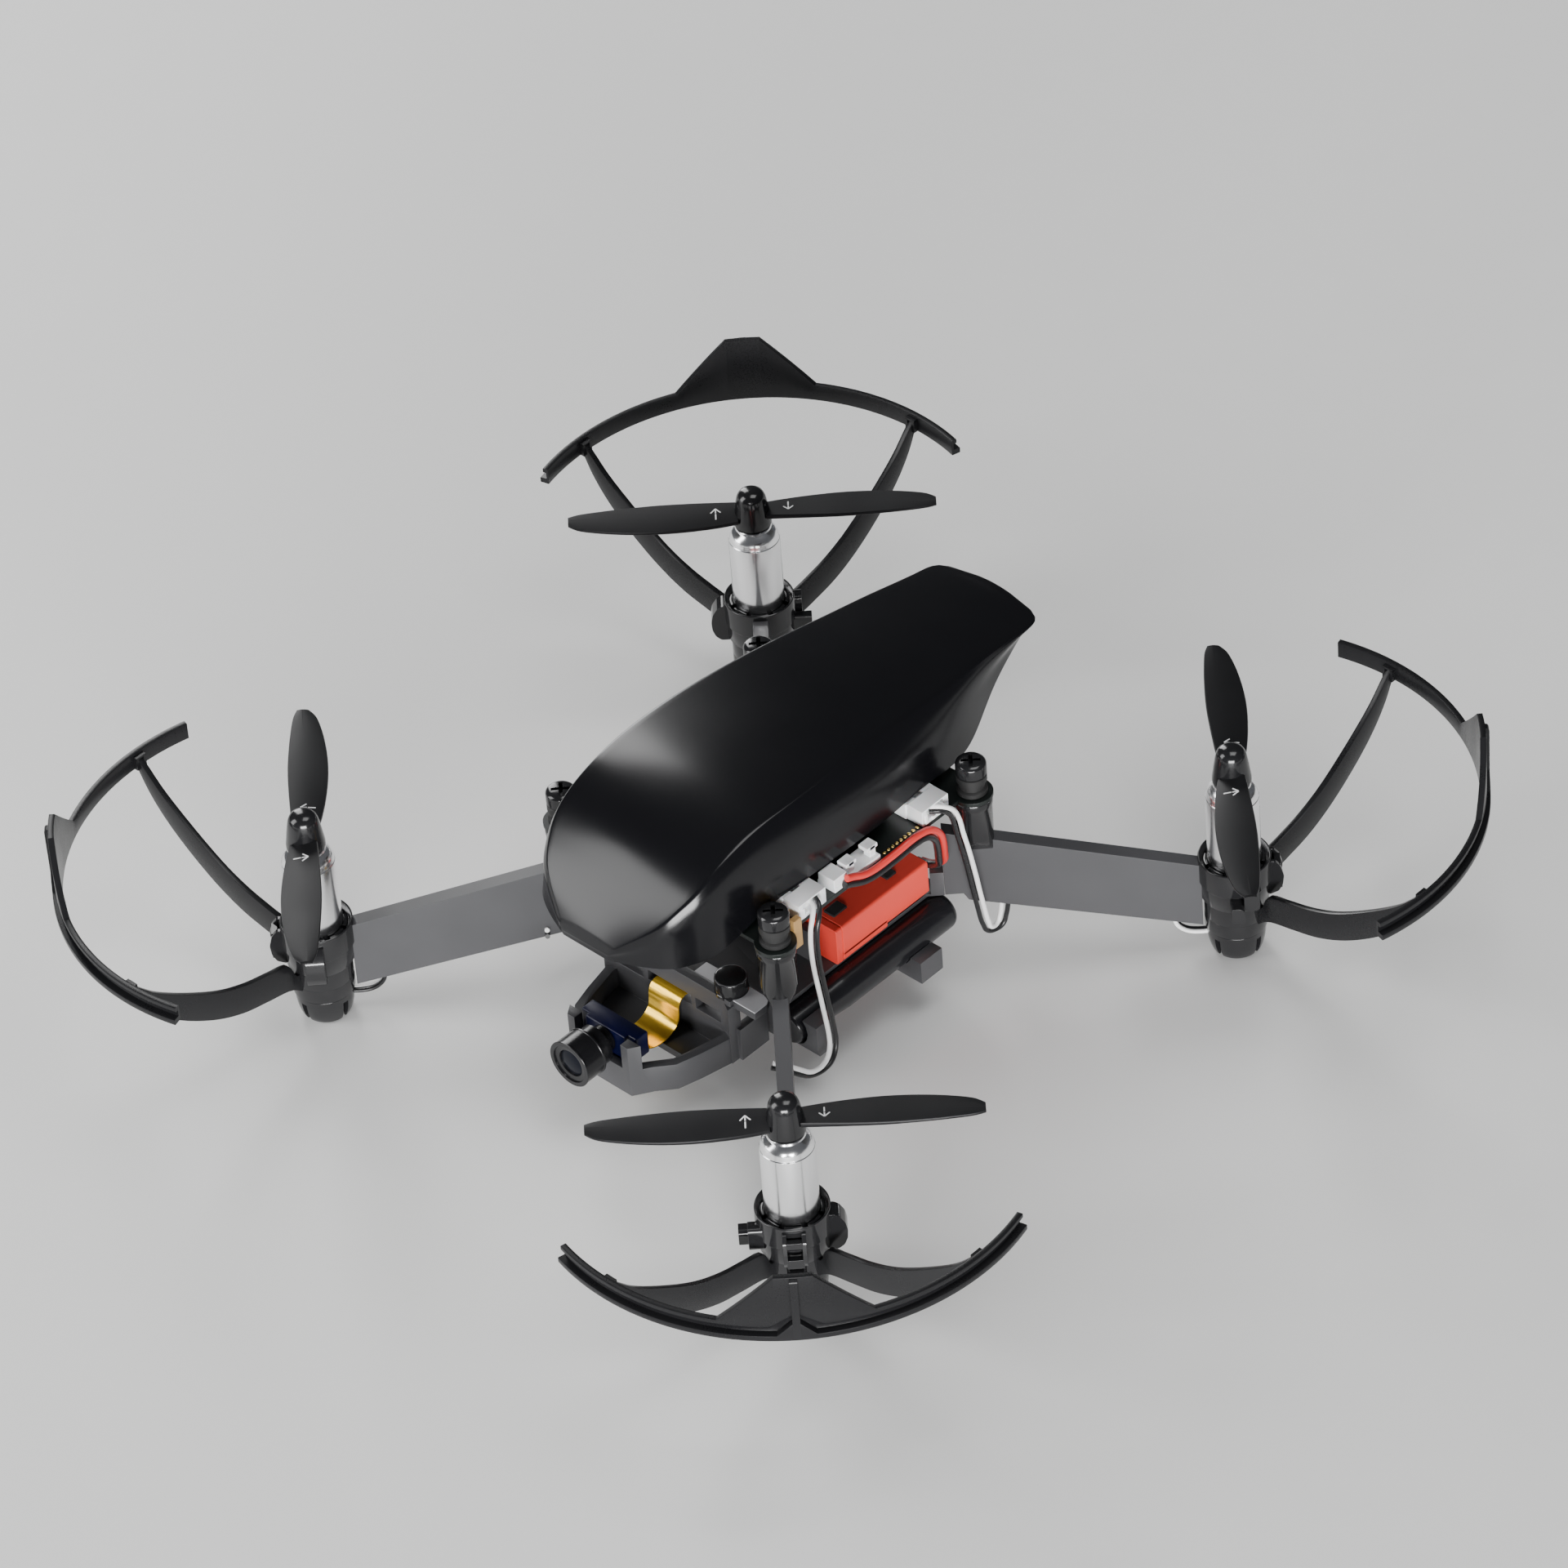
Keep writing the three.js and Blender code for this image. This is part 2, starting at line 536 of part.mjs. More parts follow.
function frameTray() {
  const deck = slab(roundedBox(-TRAY_HALF_X, TRAY_HALF_X, TRAY_FRONT, TRAY_BACK, 2),
    TRAY_BOTTOM, TRAY_TOP, [roundedBox(-9, 9, -3, 12, 2)]);
  const walls = [-1, 1].map((s) =>
    box(s * 13 - 0.75, s * 13 + 0.75, TRAY_FRONT + 1, TRAY_BACK - 1, FLOOR_Z, TRAY_BOTTOM + 0.5));
  const stop = box(-14.4, 14.4, CELL.y0 - 1.9, CELL.y0 - CLEAR, TRAY_BOTTOM + 0.5, 21.6);
  const backStop = box(-12, 12, CELL.y1 + CLEAR, CELL.y1 + 1.7, TRAY_BOTTOM + 0.5, 17.6);
  const cross = [TRAY_FRONT + 1.2, TRAY_BACK - 2.4].map((y) => box(-13, 13, y, y + 1.5, FLOOR_Z + 2, TRAY_BOTTOM + 0.5));
  const cradles = [];
  for (const s of [-1, 1]) {
    const span = (a, b) => (s > 0 ? [a, b] : [-b, -a]);
    cradles.push(box(...span(13, 24), 7.0, 11.9, FLOOR_Z, FLOOR_Z + 4.2));
    cradles.push(box(...span(13, 24), -16.8, -12.6, FLOOR_Z + 2, TRAY_BOTTOM));
    cradles.push(box(...span(12.5, 23.4), -15.8, -13.6, FLOOR_Z + 0.6, FLOOR_Z + 2.5));
  }
  const tabs = CORNERS.map(({ sx, sy }) => join(
    box(20, TAB_END, -1.1, 1.1, 15.3, TRAY_TOP), box(24.3, TAB_END, -1.1, 1.1, 15.3, 20),
  ).rotate([0, 0, THREE.MathUtils.radToDeg(Math.atan2(sy, sx))]));
  const tubes = [-1, 1].map((s) => rod(TUBE_R + 0.15, TUBE_FRONT - 5, TUBE_BACK + 5, { x: s * TUBE_X, z: TUBE_Z }));
  const body = join(deck, ...walls, stop, backStop, ...cross, ...cradles, ...tabs);
  return cut(body, ...tubes);
}

function sideTube() {
  return latheAlongY([
    [0, TUBE_FRONT], [TUBE_R - 0.7, TUBE_FRONT], [TUBE_R - 0.35, TUBE_FRONT + 0.4], [TUBE_R - 0.35, -10.5],
    [TUBE_R, -6.3],
    [TUBE_R, TUBE_BACK - 1.0], [TUBE_R - 0.3, TUBE_BACK - 0.3], [TUBE_R - 1.0, TUBE_BACK], [0, TUBE_BACK],
  ], 16);
}

function cameraBracket() {
  const outline = [
    [-6.4, BRACKET_FRONT], [6.4, BRACKET_FRONT], [8.4, -37.4], [10.9, -34.6], [12.1, -30.5],
    [13.3, -25.2], [13.3, BRACKET_BACK], [-13.3, BRACKET_BACK], [-13.3, -25.2], [-12.1, -30.5],
    [-10.9, -34.6], [-8.4, -37.4],
  ];
  const inner = [
    [-5.2, BRACKET_FRONT + 1.4], [5.2, BRACKET_FRONT + 1.4], [7.3, -36.4], [9.5, -33.8], [10.5, -30.2],
    [11.6, -25.4], [11.6, BRACKET_BACK - 1.4], [-11.6, BRACKET_BACK - 1.4], [-11.6, -25.4], [-10.5, -30.2],
    [-9.5, -33.8], [-7.3, -36.4],
  ];
  const wall = cut(slab(outline, FLOOR_Z, FLOOR_Z + 5.1), slab(inner, FLOOR_Z - 1, FLOOR_Z + 9));
  const floor = slab([[-11.8, -29.6], [11.8, -29.6], [12.2, BRACKET_BACK - 0.6], [-12.2, BRACKET_BACK - 0.6]],
    FLOOR_Z, FLOOR_Z + 1.4);
  const rearWall = cut(
    box(-13.3, 13.3, BRACKET_BACK - 1.8, BRACKET_BACK, FLOOR_Z, 19.0),
    box(-4.6, 4.6, BRACKET_BACK - 3, BRACKET_BACK + 1, 13.6, 15.6),
    box(5.6, 11.0, BRACKET_BACK - 3, BRACKET_BACK + 1, 13.4, 15.6),
    box(-11.0, -5.6, BRACKET_BACK - 3, BRACKET_BACK + 1, 13.4, 15.6),
  );
  const mirrored = (points, z0, z1) => [-1, 1].map((side) => {
    const copy = points.map(([x, y]) => [side * x, y]);
    return slab(side > 0 ? copy : copy.reverse(), z0, z1);
  });
  const rails = mirrored([[12.7, BRACKET_BACK - 1], [14.2, BRACKET_BACK - 1], [14.2, TRAY_FRONT - CLEAR],
    [12.7, TRAY_FRONT - CLEAR]], FLOOR_Z, 13.1);
  const posts = mirrored([[11.6, -24.2], [13.5, -25.2], [13.5, BRACKET_BACK], [11.6, BRACKET_BACK]], FLOOR_Z, 18.0);
  const cheeks = mirrored([[4.9, BRACKET_FRONT], [6.4, BRACKET_FRONT], [7.6, -38.6], [4.9, -38.6]],
    FLOOR_Z, FLOOR_Z + 9.9);
  const deck = mirrored([[4.0, -23.7], [17.9, -23.7], [17.9, -21.0], [17.2, -19.8], [4.0, -19.8]], 17.4, 18.8);
  const pods = [-1, 1].map((side) => disc(2.6, 18.0, 21.6, { x: side * 11.2, y: -21.8, sides: 12 }));
  return join(wall, floor, rearWall, ...rails, ...posts, ...cheeks, ...deck, ...pods);
}

function cameraModule() {
  const body = box(-4.3, 4.3, -39.0 + CLEAR, -35.2, FLOOR_Z + 3.3, LENS_Z + 2.1);
  const head = box(-5.9, 5.9, -37.9, -35.2, FLOOR_Z + 5.3, LENS_Z + 2.1);
  return join(body, head);
}

function lensBarrel() {
  return latheAlongY([
    [0, -38.7 - CLEAR], [2.3, -38.7 - CLEAR], [2.3, -40.7], [3.4, -40.7], [3.4, LENS_FRONT + 4.2],
    [4.05, LENS_FRONT + 4.0], [4.05, LENS_FRONT], [3.3, LENS_FRONT], [2.6, LENS_FRONT + 0.8],
    [0, LENS_FRONT + 0.8],
  ]).translate(0, 0, LENS_Z);
}

function lensGlass() {
  const seat = LENS_FRONT + 0.75;
  return latheAlongY([[0, seat - 0.45], [1.4, seat - 0.35], [2.3, seat], [0, seat]], 24).translate(0, 0, LENS_Z);
}

// wavy film from the back of the camera to the slot in the bracket
const FLEX_ROUTE = [
  [-34.9, 12.4], [-34.0, 10.6], [-32.6, 9.4], [-30.9, 8.8], [-29.0, 8.7], [-27.4, 9.2], [-26.3, 10.1],
  [-25.9, 11.6], [-25.8, 13.1], [-25.2, 14.2], [-24.4, 14.6], [-23.4, 14.6],
];
function flexRibbon() {
  const curve = new THREE.CatmullRomCurve3(FLEX_ROUTE.map(([y, z]) => new THREE.Vector3(0, y, z)));
  const points = curve.getSpacedPoints(24);
  const half = 0.15;
  const sideOf = (sign) => points.map((p, i) => {
    const before = points[Math.max(0, i - 1)];
    const after = points[Math.min(points.length - 1, i + 1)];
    const along = after.clone().sub(before).normalize();
    return [p.y - sign * along.z * half, p.z + sign * along.y * half];
  });
  return bulkhead([...sideOf(1).reverse(), ...sideOf(-1)], -3.2, 3.2);
}

// ---- battery and connectors ------------------------------------------------------------

function battery() {
  const body = plate(roundedBox(-CELL.x, CELL.x, CELL.z0, CELL.z1, 0.8), CELL.y0, CELL.y1);
  return body;
}

function socketHeader() {
  const shell = box(15.0, 19.2, -3.2, 3.2, 0.05, 2.9);
  const mouth = box(16.6, 20, -2.5, 2.5, 0.6, 2.3);
  const latches = box(17, 20, -0.9, 0.9, 2, 4);
  return cut(shell, mouth, latches);
}

function motorPlug() {
  const body = box(19.2 + 0.1, 22.5, -3.0, 3.0, 0.1, 3.05);
  const tongue = box(16.9, 19.6, -2.3, 2.3, 0.75, 2.15);
  const ribs = [-2.4, -0.8, 0.8].map((y) => box(22.2, 22.7, y, y + 0.7, 0.3, 2.2));
  const ports = box(21.6, 24, -1.9, 1.9, 0.9, 2.8);
  return cut(join(body, tongue, ...ribs), ports);
}

function batteryHeader() {
  const shell = box(18.6, 22.3, -5.2, 5.2, 0.05, 1.1);
  const block = box(18.8, 22.2, -5.2, -2.2, 1.0, 2.6);
  const prongs = [-1.2, 3.6].map((y) => box(20.2, 21.6, y, y + 1.3, 1.0, 3.0));
  const hooks = [-1.2, 3.6].map((y) => box(19.6, 21.6, y - 0.5, y + 1.8, 2.3, 3.0));
  return join(shell, block, ...prongs, ...hooks);
}

// ---- wires ------------------------------------------------------------------------------

// motor leads on the left: out of the plug, down in a loop and up into the arm from below
const FRONT_LEAD = [
  [21.8, -13.2, 37.5], [22.9, -13.3, 37.4], [24.0, -14.9, 36.9], [24.6, -16.2, 34.6], [24.7, -16.5, 31.6],
  [24.7, -16.3, 27.5], [25.0, -15.8, 22.0], [25.4, -15.4, 17.0], [25.6, -15.1, 13.6], [26.0, -15.4, 11.0],
  [26.7, -17.3, 9.4], [27.0, -20.6, 9.6], [26.9, -22.6, 10.7], [26.4, -24.2, 12.2], [25.5, -25.5, 13.2],
  [24.1, -26.9, 13.9],
];
const REAR_LEAD = [
  [21.8, 13.4, 37.5], [22.9, 13.8, 37.5], [23.4, 15.0, 37.3], [23.6, 16.1, 36.2], [23.8, 16.8, 34.9],
  [24.0, 17.5, 31.2], [24.3, 18.3, 26.9], [24.5, 19.2, 21.7], [24.6, 20.0, 16.8], [24.7, 20.6, 13.4],
  [24.75, 21.1, 10.8], [24.85, 21.9, 8.7], [24.95, 23.1, 7.7], [25.1, 24.4, 8.4], [25.2, 25.1, 10.3],
  [25.3, 25.4, 12.5], [25.3, 25.3, 14.6],
];
const MOTOR_LEAD_R = 0.7;

// lead out of the arm's end and up into the foot of the motor mount, in the arm's frame
const MOTOR_TAIL = [
  [62.2, 0, 8.8], [62.2, 0, 6.9], [62.7, 0, 5.0], [64.2, 0, 3.7], [66.4, 0, 3.3], [68.6, 0, 3.6],
  [70.4, 0, 4.6], [71.6, 0, 6.4], [72.0, 0, 8.6],
];
const MOTOR_TAIL_R = 0.6;

const BATTERY_LEAD = [
  [15.4, 17.0, 21.0], [16.9, 17.1, 21.1], [18.6, 17.3, 21.9], [20.2, 16.9, 23.4], [21.3, 15.9, 25.9],
  [22.2, 14.9, 29.3], [22.9, 13.6, 32.4], [23.3, 11.2, 34.8], [23.5, 8.0, 35.6], [23.4, 4.0, 35.3],
  [23.3, -1.0, 35.2], [23.2, -3.6, 35.7], [23.0, -5.6, 36.6], [23.0, -7.0, 37.2],
];
const BATTERY_LEAD_R = 0.75;

// ---- assembly --------------------------------------------------------------------------

addPart('frame_tray', frameTray(), MATTE_BLACK);
addPart('camera_bracket', cameraBracket(), MATTE_BLACK);
addPart('main_board', mainBoard(), BOARD_INK);
addPart('canopy', canopy(), GLOSS_BLACK);
addPart('battery', battery(), CELL_RED);
addPart('camera_module', cameraModule(), CAMERA_BLUE);
addPart('lens_barrel', lensBarrel(), MATTE_BLACK);
addPart('lens_glass', lensGlass(), LENS_GLASS);
addPart('flex_ribbon', flexRibbon(), GOLD_FILM);
addPart('battery_lead', tube(BATTERY_LEAD, BATTERY_LEAD_R), WIRE_RED);

for (const { name, sx, sy } of CORNERS) {
  const heading = Math.atan2(sy, sx);
  const mirror = -sx * sy;                     // +1 where the layout copies front_left
  const armGroup = new THREE.Group();
  armGroup.rotation.z = heading;
  drone.add(armGroup);
  const motorGroup = new THREE.Group();
  motorGroup.position.x = MOTOR_REACH;
  armGroup.add(motorGroup);

  addPart(`arm_${name}`, arm(), MATTE_BLACK, armGroup);
  addPart(`motor_can_${name}`, motorCan(), MOTOR_STEEL, motorGroup);
  addPart(`motor_end_cap_${name}`, motorEndCap(), NYLON, motorGroup);
  addPart(`motor_rotor_${name}`, motorRotor(), SHAFT_STEEL, motorGroup);
  const prop = addPart(`propeller_${name}`, propeller(mirror), PROP_BLACK, motorGroup);
  prop.rotation.z = Math.PI / 2;
  addPart(`prop_guard_${name}`, propGuard(), MATTE_BLACK, motorGroup);

  const screw = addPart(`canopy_screw_${name}`, canopyScrew(), SCREW_BLACK);
  screw.position.set(sx * SCREW_OFFSET, sy * SCREW_OFFSET, 0);
  const rubber = addPart(`grommet_${name}`, grommet(), RUBBER);
  rubber.position.set(sx * SCREW_OFFSET, sy * SCREW_OFFSET, 0);

  const side = new THREE.Group();
  side.rotation.z = sx > 0 ? 0 : Math.PI;
  side.position.set(0, sy * 14.0, BOARD_TOP);
  drone.add(side);
  addPart(`motor_header_${name}`, socketHeader(), NYLON, side);
  addPart(`motor_plug_${name}`, motorPlug(), NYLON, side);

  const route = (sy < 0 ? FRONT_LEAD : REAR_LEAD).map(([x, y, z]) => [sx * x, y, z]);
  addPart(`motor_lead_${name}`, tube(route, MOTOR_LEAD_R), WIRE_GREY);
  addPart(`motor_tail_${name}`, tube(MOTOR_TAIL, MOTOR_TAIL_R), WIRE_GREY, armGroup);
}

for (const [name, s] of [['left', 1], ['right', -1]]) {
  const tubePart = addPart(`side_tube_${name}`, sideTube(), MATTE_BLACK);
  tubePart.position.set(s * TUBE_X, 0, TUBE_Z);
}

export default drone;
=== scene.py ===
# Mini palm drone for Blender 4.5. Every size below is in millimetres and is scaled to metres once,
# when a mesh or curve is made. +Z is up and the nose points towards -Y, as in the CAD model.

import math

import bmesh
import bpy
from mathutils import Matrix, Vector


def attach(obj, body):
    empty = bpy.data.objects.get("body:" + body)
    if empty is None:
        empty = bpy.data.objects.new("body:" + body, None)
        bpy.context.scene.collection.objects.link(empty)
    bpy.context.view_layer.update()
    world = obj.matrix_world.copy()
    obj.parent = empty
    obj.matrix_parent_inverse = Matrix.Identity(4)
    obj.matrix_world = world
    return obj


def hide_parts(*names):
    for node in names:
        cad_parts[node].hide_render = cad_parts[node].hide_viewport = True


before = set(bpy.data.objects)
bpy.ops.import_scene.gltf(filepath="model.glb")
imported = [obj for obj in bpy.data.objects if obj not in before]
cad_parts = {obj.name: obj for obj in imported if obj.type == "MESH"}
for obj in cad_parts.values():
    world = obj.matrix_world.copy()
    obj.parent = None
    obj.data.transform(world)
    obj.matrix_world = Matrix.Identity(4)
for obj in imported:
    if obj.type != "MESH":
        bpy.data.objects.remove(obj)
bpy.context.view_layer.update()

MM = 0.001
Y, Z = Vector((0, 1, 0)), Vector((0, 0, 1))

MOTOR_OFFSET = 50.92
MOTOR_REACH = MOTOR_OFFSET * math.sqrt(2)
SCREW_OFFSET = 22.45
SCREW_REACH = SCREW_OFFSET * math.sqrt(2)
CORNERS = [("front_left", 1, -1), ("front_right", -1, -1), ("rear_left", 1, 1), ("rear_right", -1, 1)]

# pairs of wires: diameter, and half the pitch between the two
MOTOR_WIRE, MOTOR_HALF_PITCH = 0.8, 0.5
BATTERY_WIRE, BATTERY_HALF_PITCH = 1.2, 0.62
TAIL_WIRE, TAIL_HALF_PITCH = 0.7, 0.36

# ---- camera -----------------------------------------------------------------

# solved from the photograph: motor axes, feet, caps and propeller tips
azimuth, elevation, roll = (math.radians(a) for a in (45.89, 40.64, -4.61))
DISTANCE, SIDE_SHIFT, RISE_SHIFT, TARGET_Z = 1247.1, 2.80, -0.67, 40.7
back = Vector((math.sin(azimuth) * math.cos(elevation), -math.cos(azimuth) * math.cos(elevation),
               math.sin(elevation)))
level = Vector((math.cos(azimuth), math.sin(azimuth), 0))
rise = back.cross(level)
across = level * math.cos(roll) + rise * math.sin(roll)
upward = rise * math.cos(roll) - level * math.sin(roll)
eye = back * DISTANCE + across * SIDE_SHIFT + upward * RISE_SHIFT + Z * TARGET_Z

camera_data = bpy.data.cameras.new("camera")
camera_data.sensor_width = 36
camera_data.lens = 185.16
camera_data.clip_start = 0.05
camera = bpy.data.objects.new("camera", camera_data)
camera.matrix_world = Matrix.Translation(eye * MM) @ Matrix((across, upward, back)).transposed().to_4x4()
bpy.context.scene.collection.objects.link(camera)
bpy.context.scene.camera = camera


# ---- finishes -----------------------------------------------------------------

BROAD_CELL = 9      # size of the slow drift of tone
GRAIN_DEPTH = 0.012


def finish(name, color, rough, grain=0.35, relief=0.12, vary=0.12, spread=0.06, stretch=(1, 1, 1), **sockets):
    """A moulded, printed or drawn surface: a fine grain in relief and gloss, over a broad drift of tone.

    grain is the size of the fine cells; further keywords set the shader's own sockets.
    """
    made = bpy.data.materials.new(name)
    made.use_nodes = True
    nodes, links = made.node_tree.nodes, made.node_tree.links
    shader = nodes["Principled BSDF"]
    spot = nodes.new("ShaderNodeTexCoord")
    turn = nodes.new("ShaderNodeMapping")
    turn.inputs["Scale"].default_value = stretch
    links.new(spot.outputs["Object"], turn.inputs["Vector"])

    def noise(cell, detail):
        node = nodes.new("ShaderNodeTexNoise")
        node.inputs["Scale"].default_value = 1 / (cell * MM)
        node.inputs["Detail"].default_value = detail
        links.new(turn.outputs["Vector"], node.inputs["Vector"])
        return node.outputs["Fac"]

    fine, broad = noise(grain, 3), noise(BROAD_CELL, 4)
    tone = nodes.new("ShaderNodeMix")
    tone.data_type = "RGBA"
    tone.inputs[6].default_value = (*[c * (1 - vary) for c in color], 1)
    tone.inputs[7].default_value = (*[min(1, c * (1 + vary)) for c in color], 1)
    links.new(broad, tone.inputs[0])
    links.new(tone.outputs[2], shader.inputs["Base Color"])

    mixed = nodes.new("ShaderNodeMath")
    mixed.operation = "ADD"
    links.new(fine, mixed.inputs[0])
    links.new(broad, mixed.inputs[1])
    gloss = nodes.new("ShaderNodeMapRange")
    gloss.inputs["From Min"].default_value = 0.6
    gloss.inputs["From Max"].default_value = 1.4
    gloss.inputs["To Min"].default_value = max(0.02, rough - spread)
    gloss.inputs["To Max"].default_value = rough + spread
    links.new(mixed.outputs["Value"], gloss.inputs["Value"])
    links.new(gloss.outputs["Result"], shader.inputs["Roughness"])

    bump = nodes.new("ShaderNodeBump")
    bump.inputs["Strength"].default_value = relief
    bump.inputs["Distance"].default_value = GRAIN_DEPTH * MM
    links.new(fine, bump.inputs["Height"])
    links.new(bump.outputs["Normal"], shader.inputs["Normal"])
    for socket, value in sockets.items():
        shader.inputs[socket.replace("_", " ")].default_value = value
    return made


SATIN = finish("frame_satin_black", (0.060, 0.060, 0.064), 0.42, grain=0.22, relief=0.2)
MOULD_GLOSS = finish("frame_gloss_black", (0.014, 0.014, 0.015), 0.13, grain=0.3, relief=0.04, spread=0.03)
GUARD = finish("guard_satin_black", (0.009, 0.009, 0.010), 0.30, grain=0.25, relief=0.12, Specular_IOR_Level=0.25)
HOOD = finish("canopy_gloss_black", (0.004, 0.004, 0.005), 0.20, grain=0.5, relief=0.0, spread=0.015,
              Specular_IOR_Level=0.36)
BLADE_BLACK = finish("propeller_black", (0.009, 0.009, 0.010), 0.40, grain=0.2, relief=0.12, Specular_IOR_Level=0.2)
HUB_BLACK = finish("propeller_hub_gloss", (0.010, 0.010, 0.011), 0.16, grain=0.3, relief=0.05)
CHROME = finish("can_steel_bright", (0.96, 0.96, 0.97), 0.20, grain=0.12, relief=0.05, vary=0.02, spread=0.04,
                stretch=(1, 1, 0.04), Metallic=1.0)
STEEL = finish("shaft_steel", (0.58, 0.58, 0.60), 0.28, grain=0.1, relief=0.15, stretch=(1, 1, 0.1), Metallic=1.0)
OXIDE = finish("screw_black_gloss", (0.012, 0.012, 0.013), 0.16, grain=0.15, relief=0.08, spread=0.03)
RUBBER = finish("grommet_rubber", (0.012, 0.012, 0.012), 0.55, grain=0.12, relief=0.35)
BOARD_INK = finish("board_solder_mask", (0.006, 0.009, 0.008), 0.35, grain=0.18, relief=0.2)
NYLON = finish("connector_nylon", (0.96, 0.965, 0.98), 0.40, grain=0.2, relief=0.12, vary=0.04,
               Subsurface_Weight=0.12, Subsurface_Scale=0.0006)
WRAP = finish("battery_wrap_red", (1.0, 0.075, 0.05), 0.40, grain=0.6, relief=0.15, vary=0.10)
TAPE = finish("battery_tape_red", (0.93, 0.065, 0.045), 0.34, grain=0.9, relief=0.2, vary=0.08)
NAVY = finish("camera_blue", (0.004, 0.005, 0.034), 0.34, grain=0.2, relief=0.12, Specular_IOR_Level=0.3)
LENS_BLACK = finish("lens_black", (0.008, 0.008, 0.009), 0.22, grain=0.15, relief=0.06, Specular_IOR_Level=0.35)
GLASS = finish("lens_glass_dark", (0.004, 0.005, 0.009), 0.30, grain=2, relief=0.0, spread=0.02,
               Specular_IOR_Level=0.12)
FILM = finish("flex_film_gold", (0.90, 0.56, 0.05), 0.2, grain=0.5, relief=0.06, Metallic=0.7)
DECK = finish("deck_plate_grey", (0.62, 0.62, 0.64), 0.45, grain=0.2, relief=0.12)
WHITE_PVC = finish("wire_white", (0.97, 0.97, 0.96), 0.36, grain=0.2, relief=0.1, vary=0.04)
BLACK_PVC = finish("wire_black", (0.012, 0.012, 0.013), 0.30, grain=0.2, relief=0.1)
RED_PVC = finish("wire_red", (0.70, 0.035, 0.03), 0.34, grain=0.2, relief=0.1)
TUBE_BLACK = finish("tube_black", (0.010, 0.010, 0.012), 0.24, grain=0.3, relief=0.1)
TAN = finish("capacitor_tan", (0.42, 0.25, 0.09), 0.42, grain=0.15, relief=0.2)
GOLD = finish("pad_gold", (0.85, 0.58, 0.18), 0.25, grain=0.1, relief=0.1, Metallic=1.0)
CHIP = finish("chip_black", (0.018, 0.018, 0.019), 0.5, grain=0.12, relief=0.3)
SHIELD = finish("shield_tin", (0.55, 0.56, 0.58), 0.3, grain=0.15, relief=0.1, Metallic=1.0)
INK = finish("mark_white", (0.86, 0.86, 0.86), 0.45, grain=0.2, relief=0.1, vary=0.03)


# ---- lines --------------------------------------------------------------------

def flowing(points, per=12):
    """Centripetal Catmull-Rom line through the points, `per` steps to each gap."""
    line = [Vector(p) for p in points]
    line = [line[0] * 2 - line[1], *line, line[-1] * 2 - line[-2]]
    out = []
    for a, b, c, d in zip(line, line[1:], line[2:], line[3:]):
        t1 = max((b - a).length, 1e-6) ** 0.5
        t2 = t1 + max((c - b).length, 1e-6) ** 0.5
        t3 = t2 + max((d - c).length, 1e-6) ** 0.5
        for k in range(per):
            t = t1 + (t2 - t1) * k / per
            ab, bc, cd = (a * (t1 - t) + b * t) / t1, (b * (t2 - t) + c * (t - t1)) / (t2 - t1), \
                (c * (t3 - t) + d * (t - t2)) / (t3 - t2)
            abc, bcd = (ab * (t2 - t) + bc * t) / t2, (bc * (t3 - t) + cd * (t - t1)) / (t3 - t1)
            out.append((abc * (t2 - t) + bcd * (t - t1)) / (t2 - t1))
    return [*out, Vector(points[-1])]


def length_of(line):
    return sum((b - a).length for a, b in zip(line, line[1:]))


def spaced(points, count):
    """`count` evenly spaced points on the flowing line."""
    line = flowing(points)
    gap = length_of(line) / (count - 1)
    out, walked, want = [line[0]], 0.0, gap
    for a, b in zip(line, line[1:]):
        step = (b - a).length
        while step and want <= walked + step and len(out) < count - 1:
            out.append(a.lerp(b, (want - walked) / step))
            want += gap
        walked += step
    return [*out, line[-1]]


def eased(outline, radius, steps=3):
    """A closed outline with its corners rounded, except on the axis of a turned profile."""
    out = []
    for i, p in enumerate(outline):
        before, here, after = (Vector(q) for q in (outline[i - 1], p, outline[(i + 1) % len(outline)]))
        cut = min(radius, (before - here).length * 0.45, (after - here).length * 0.45)
        if cut < 0.004 or abs(here.x) < 1e-6:
            out.append(here)
            continue
        a, b = here + (before - here).normalized() * cut, here + (after - here).normalized() * cut
        for k in range(steps + 1):
            t = k / steps
            out.append(a * (1 - t) ** 2 + here * 2 * t * (1 - t) + b * t * t)
    return out


# ---- solids -------------------------------------------------------------------

class Solid:
    """Points and faces in millimetres, each face with the number of its finish."""

    def __init__(self, points, faces, tones=None):
        self.points = [Vector(p) for p in points]
        self.faces = [tuple(f) for f in faces]
        self.tones = tones or [0] * len(self.faces)

    def __add__(self, other):
        shift = len(self.points)
        return Solid(self.points + other.points, self.faces + [tuple(i + shift for i in f) for f in other.faces],
                     self.tones + other.tones)

    def moved(self, matrix):
        return Solid([matrix @ p for p in self.points], self.faces, self.tones)

    def toned(self, tone):
        return Solid(self.points, self.faces, [tone] * len(self.faces))


def at(x=0, y=0, z=0, turn=0):
    return Matrix.Translation((x, y, z)) @ Matrix.Rotation(math.radians(turn), 4, "Z")


ALONG_Y = Matrix.Rotation(-math.pi / 2, 4, "X")


def loft(rings):
    """Skin through equal rings, capped at both ends."""
    count = len(rings[0])
    points = [p for ring in rings for p in ring]
    faces = []
    for i in range(len(rings) - 1):
        near, far = i * count, (i + 1) * count
        for j in range(count):
            k = (j + 1) % count
            faces.append((near + j, near + k, far + k, far + j))
    faces += [tuple(range(count)), tuple(range(len(points) - count, len(points)))]
    return Solid(points, faces)


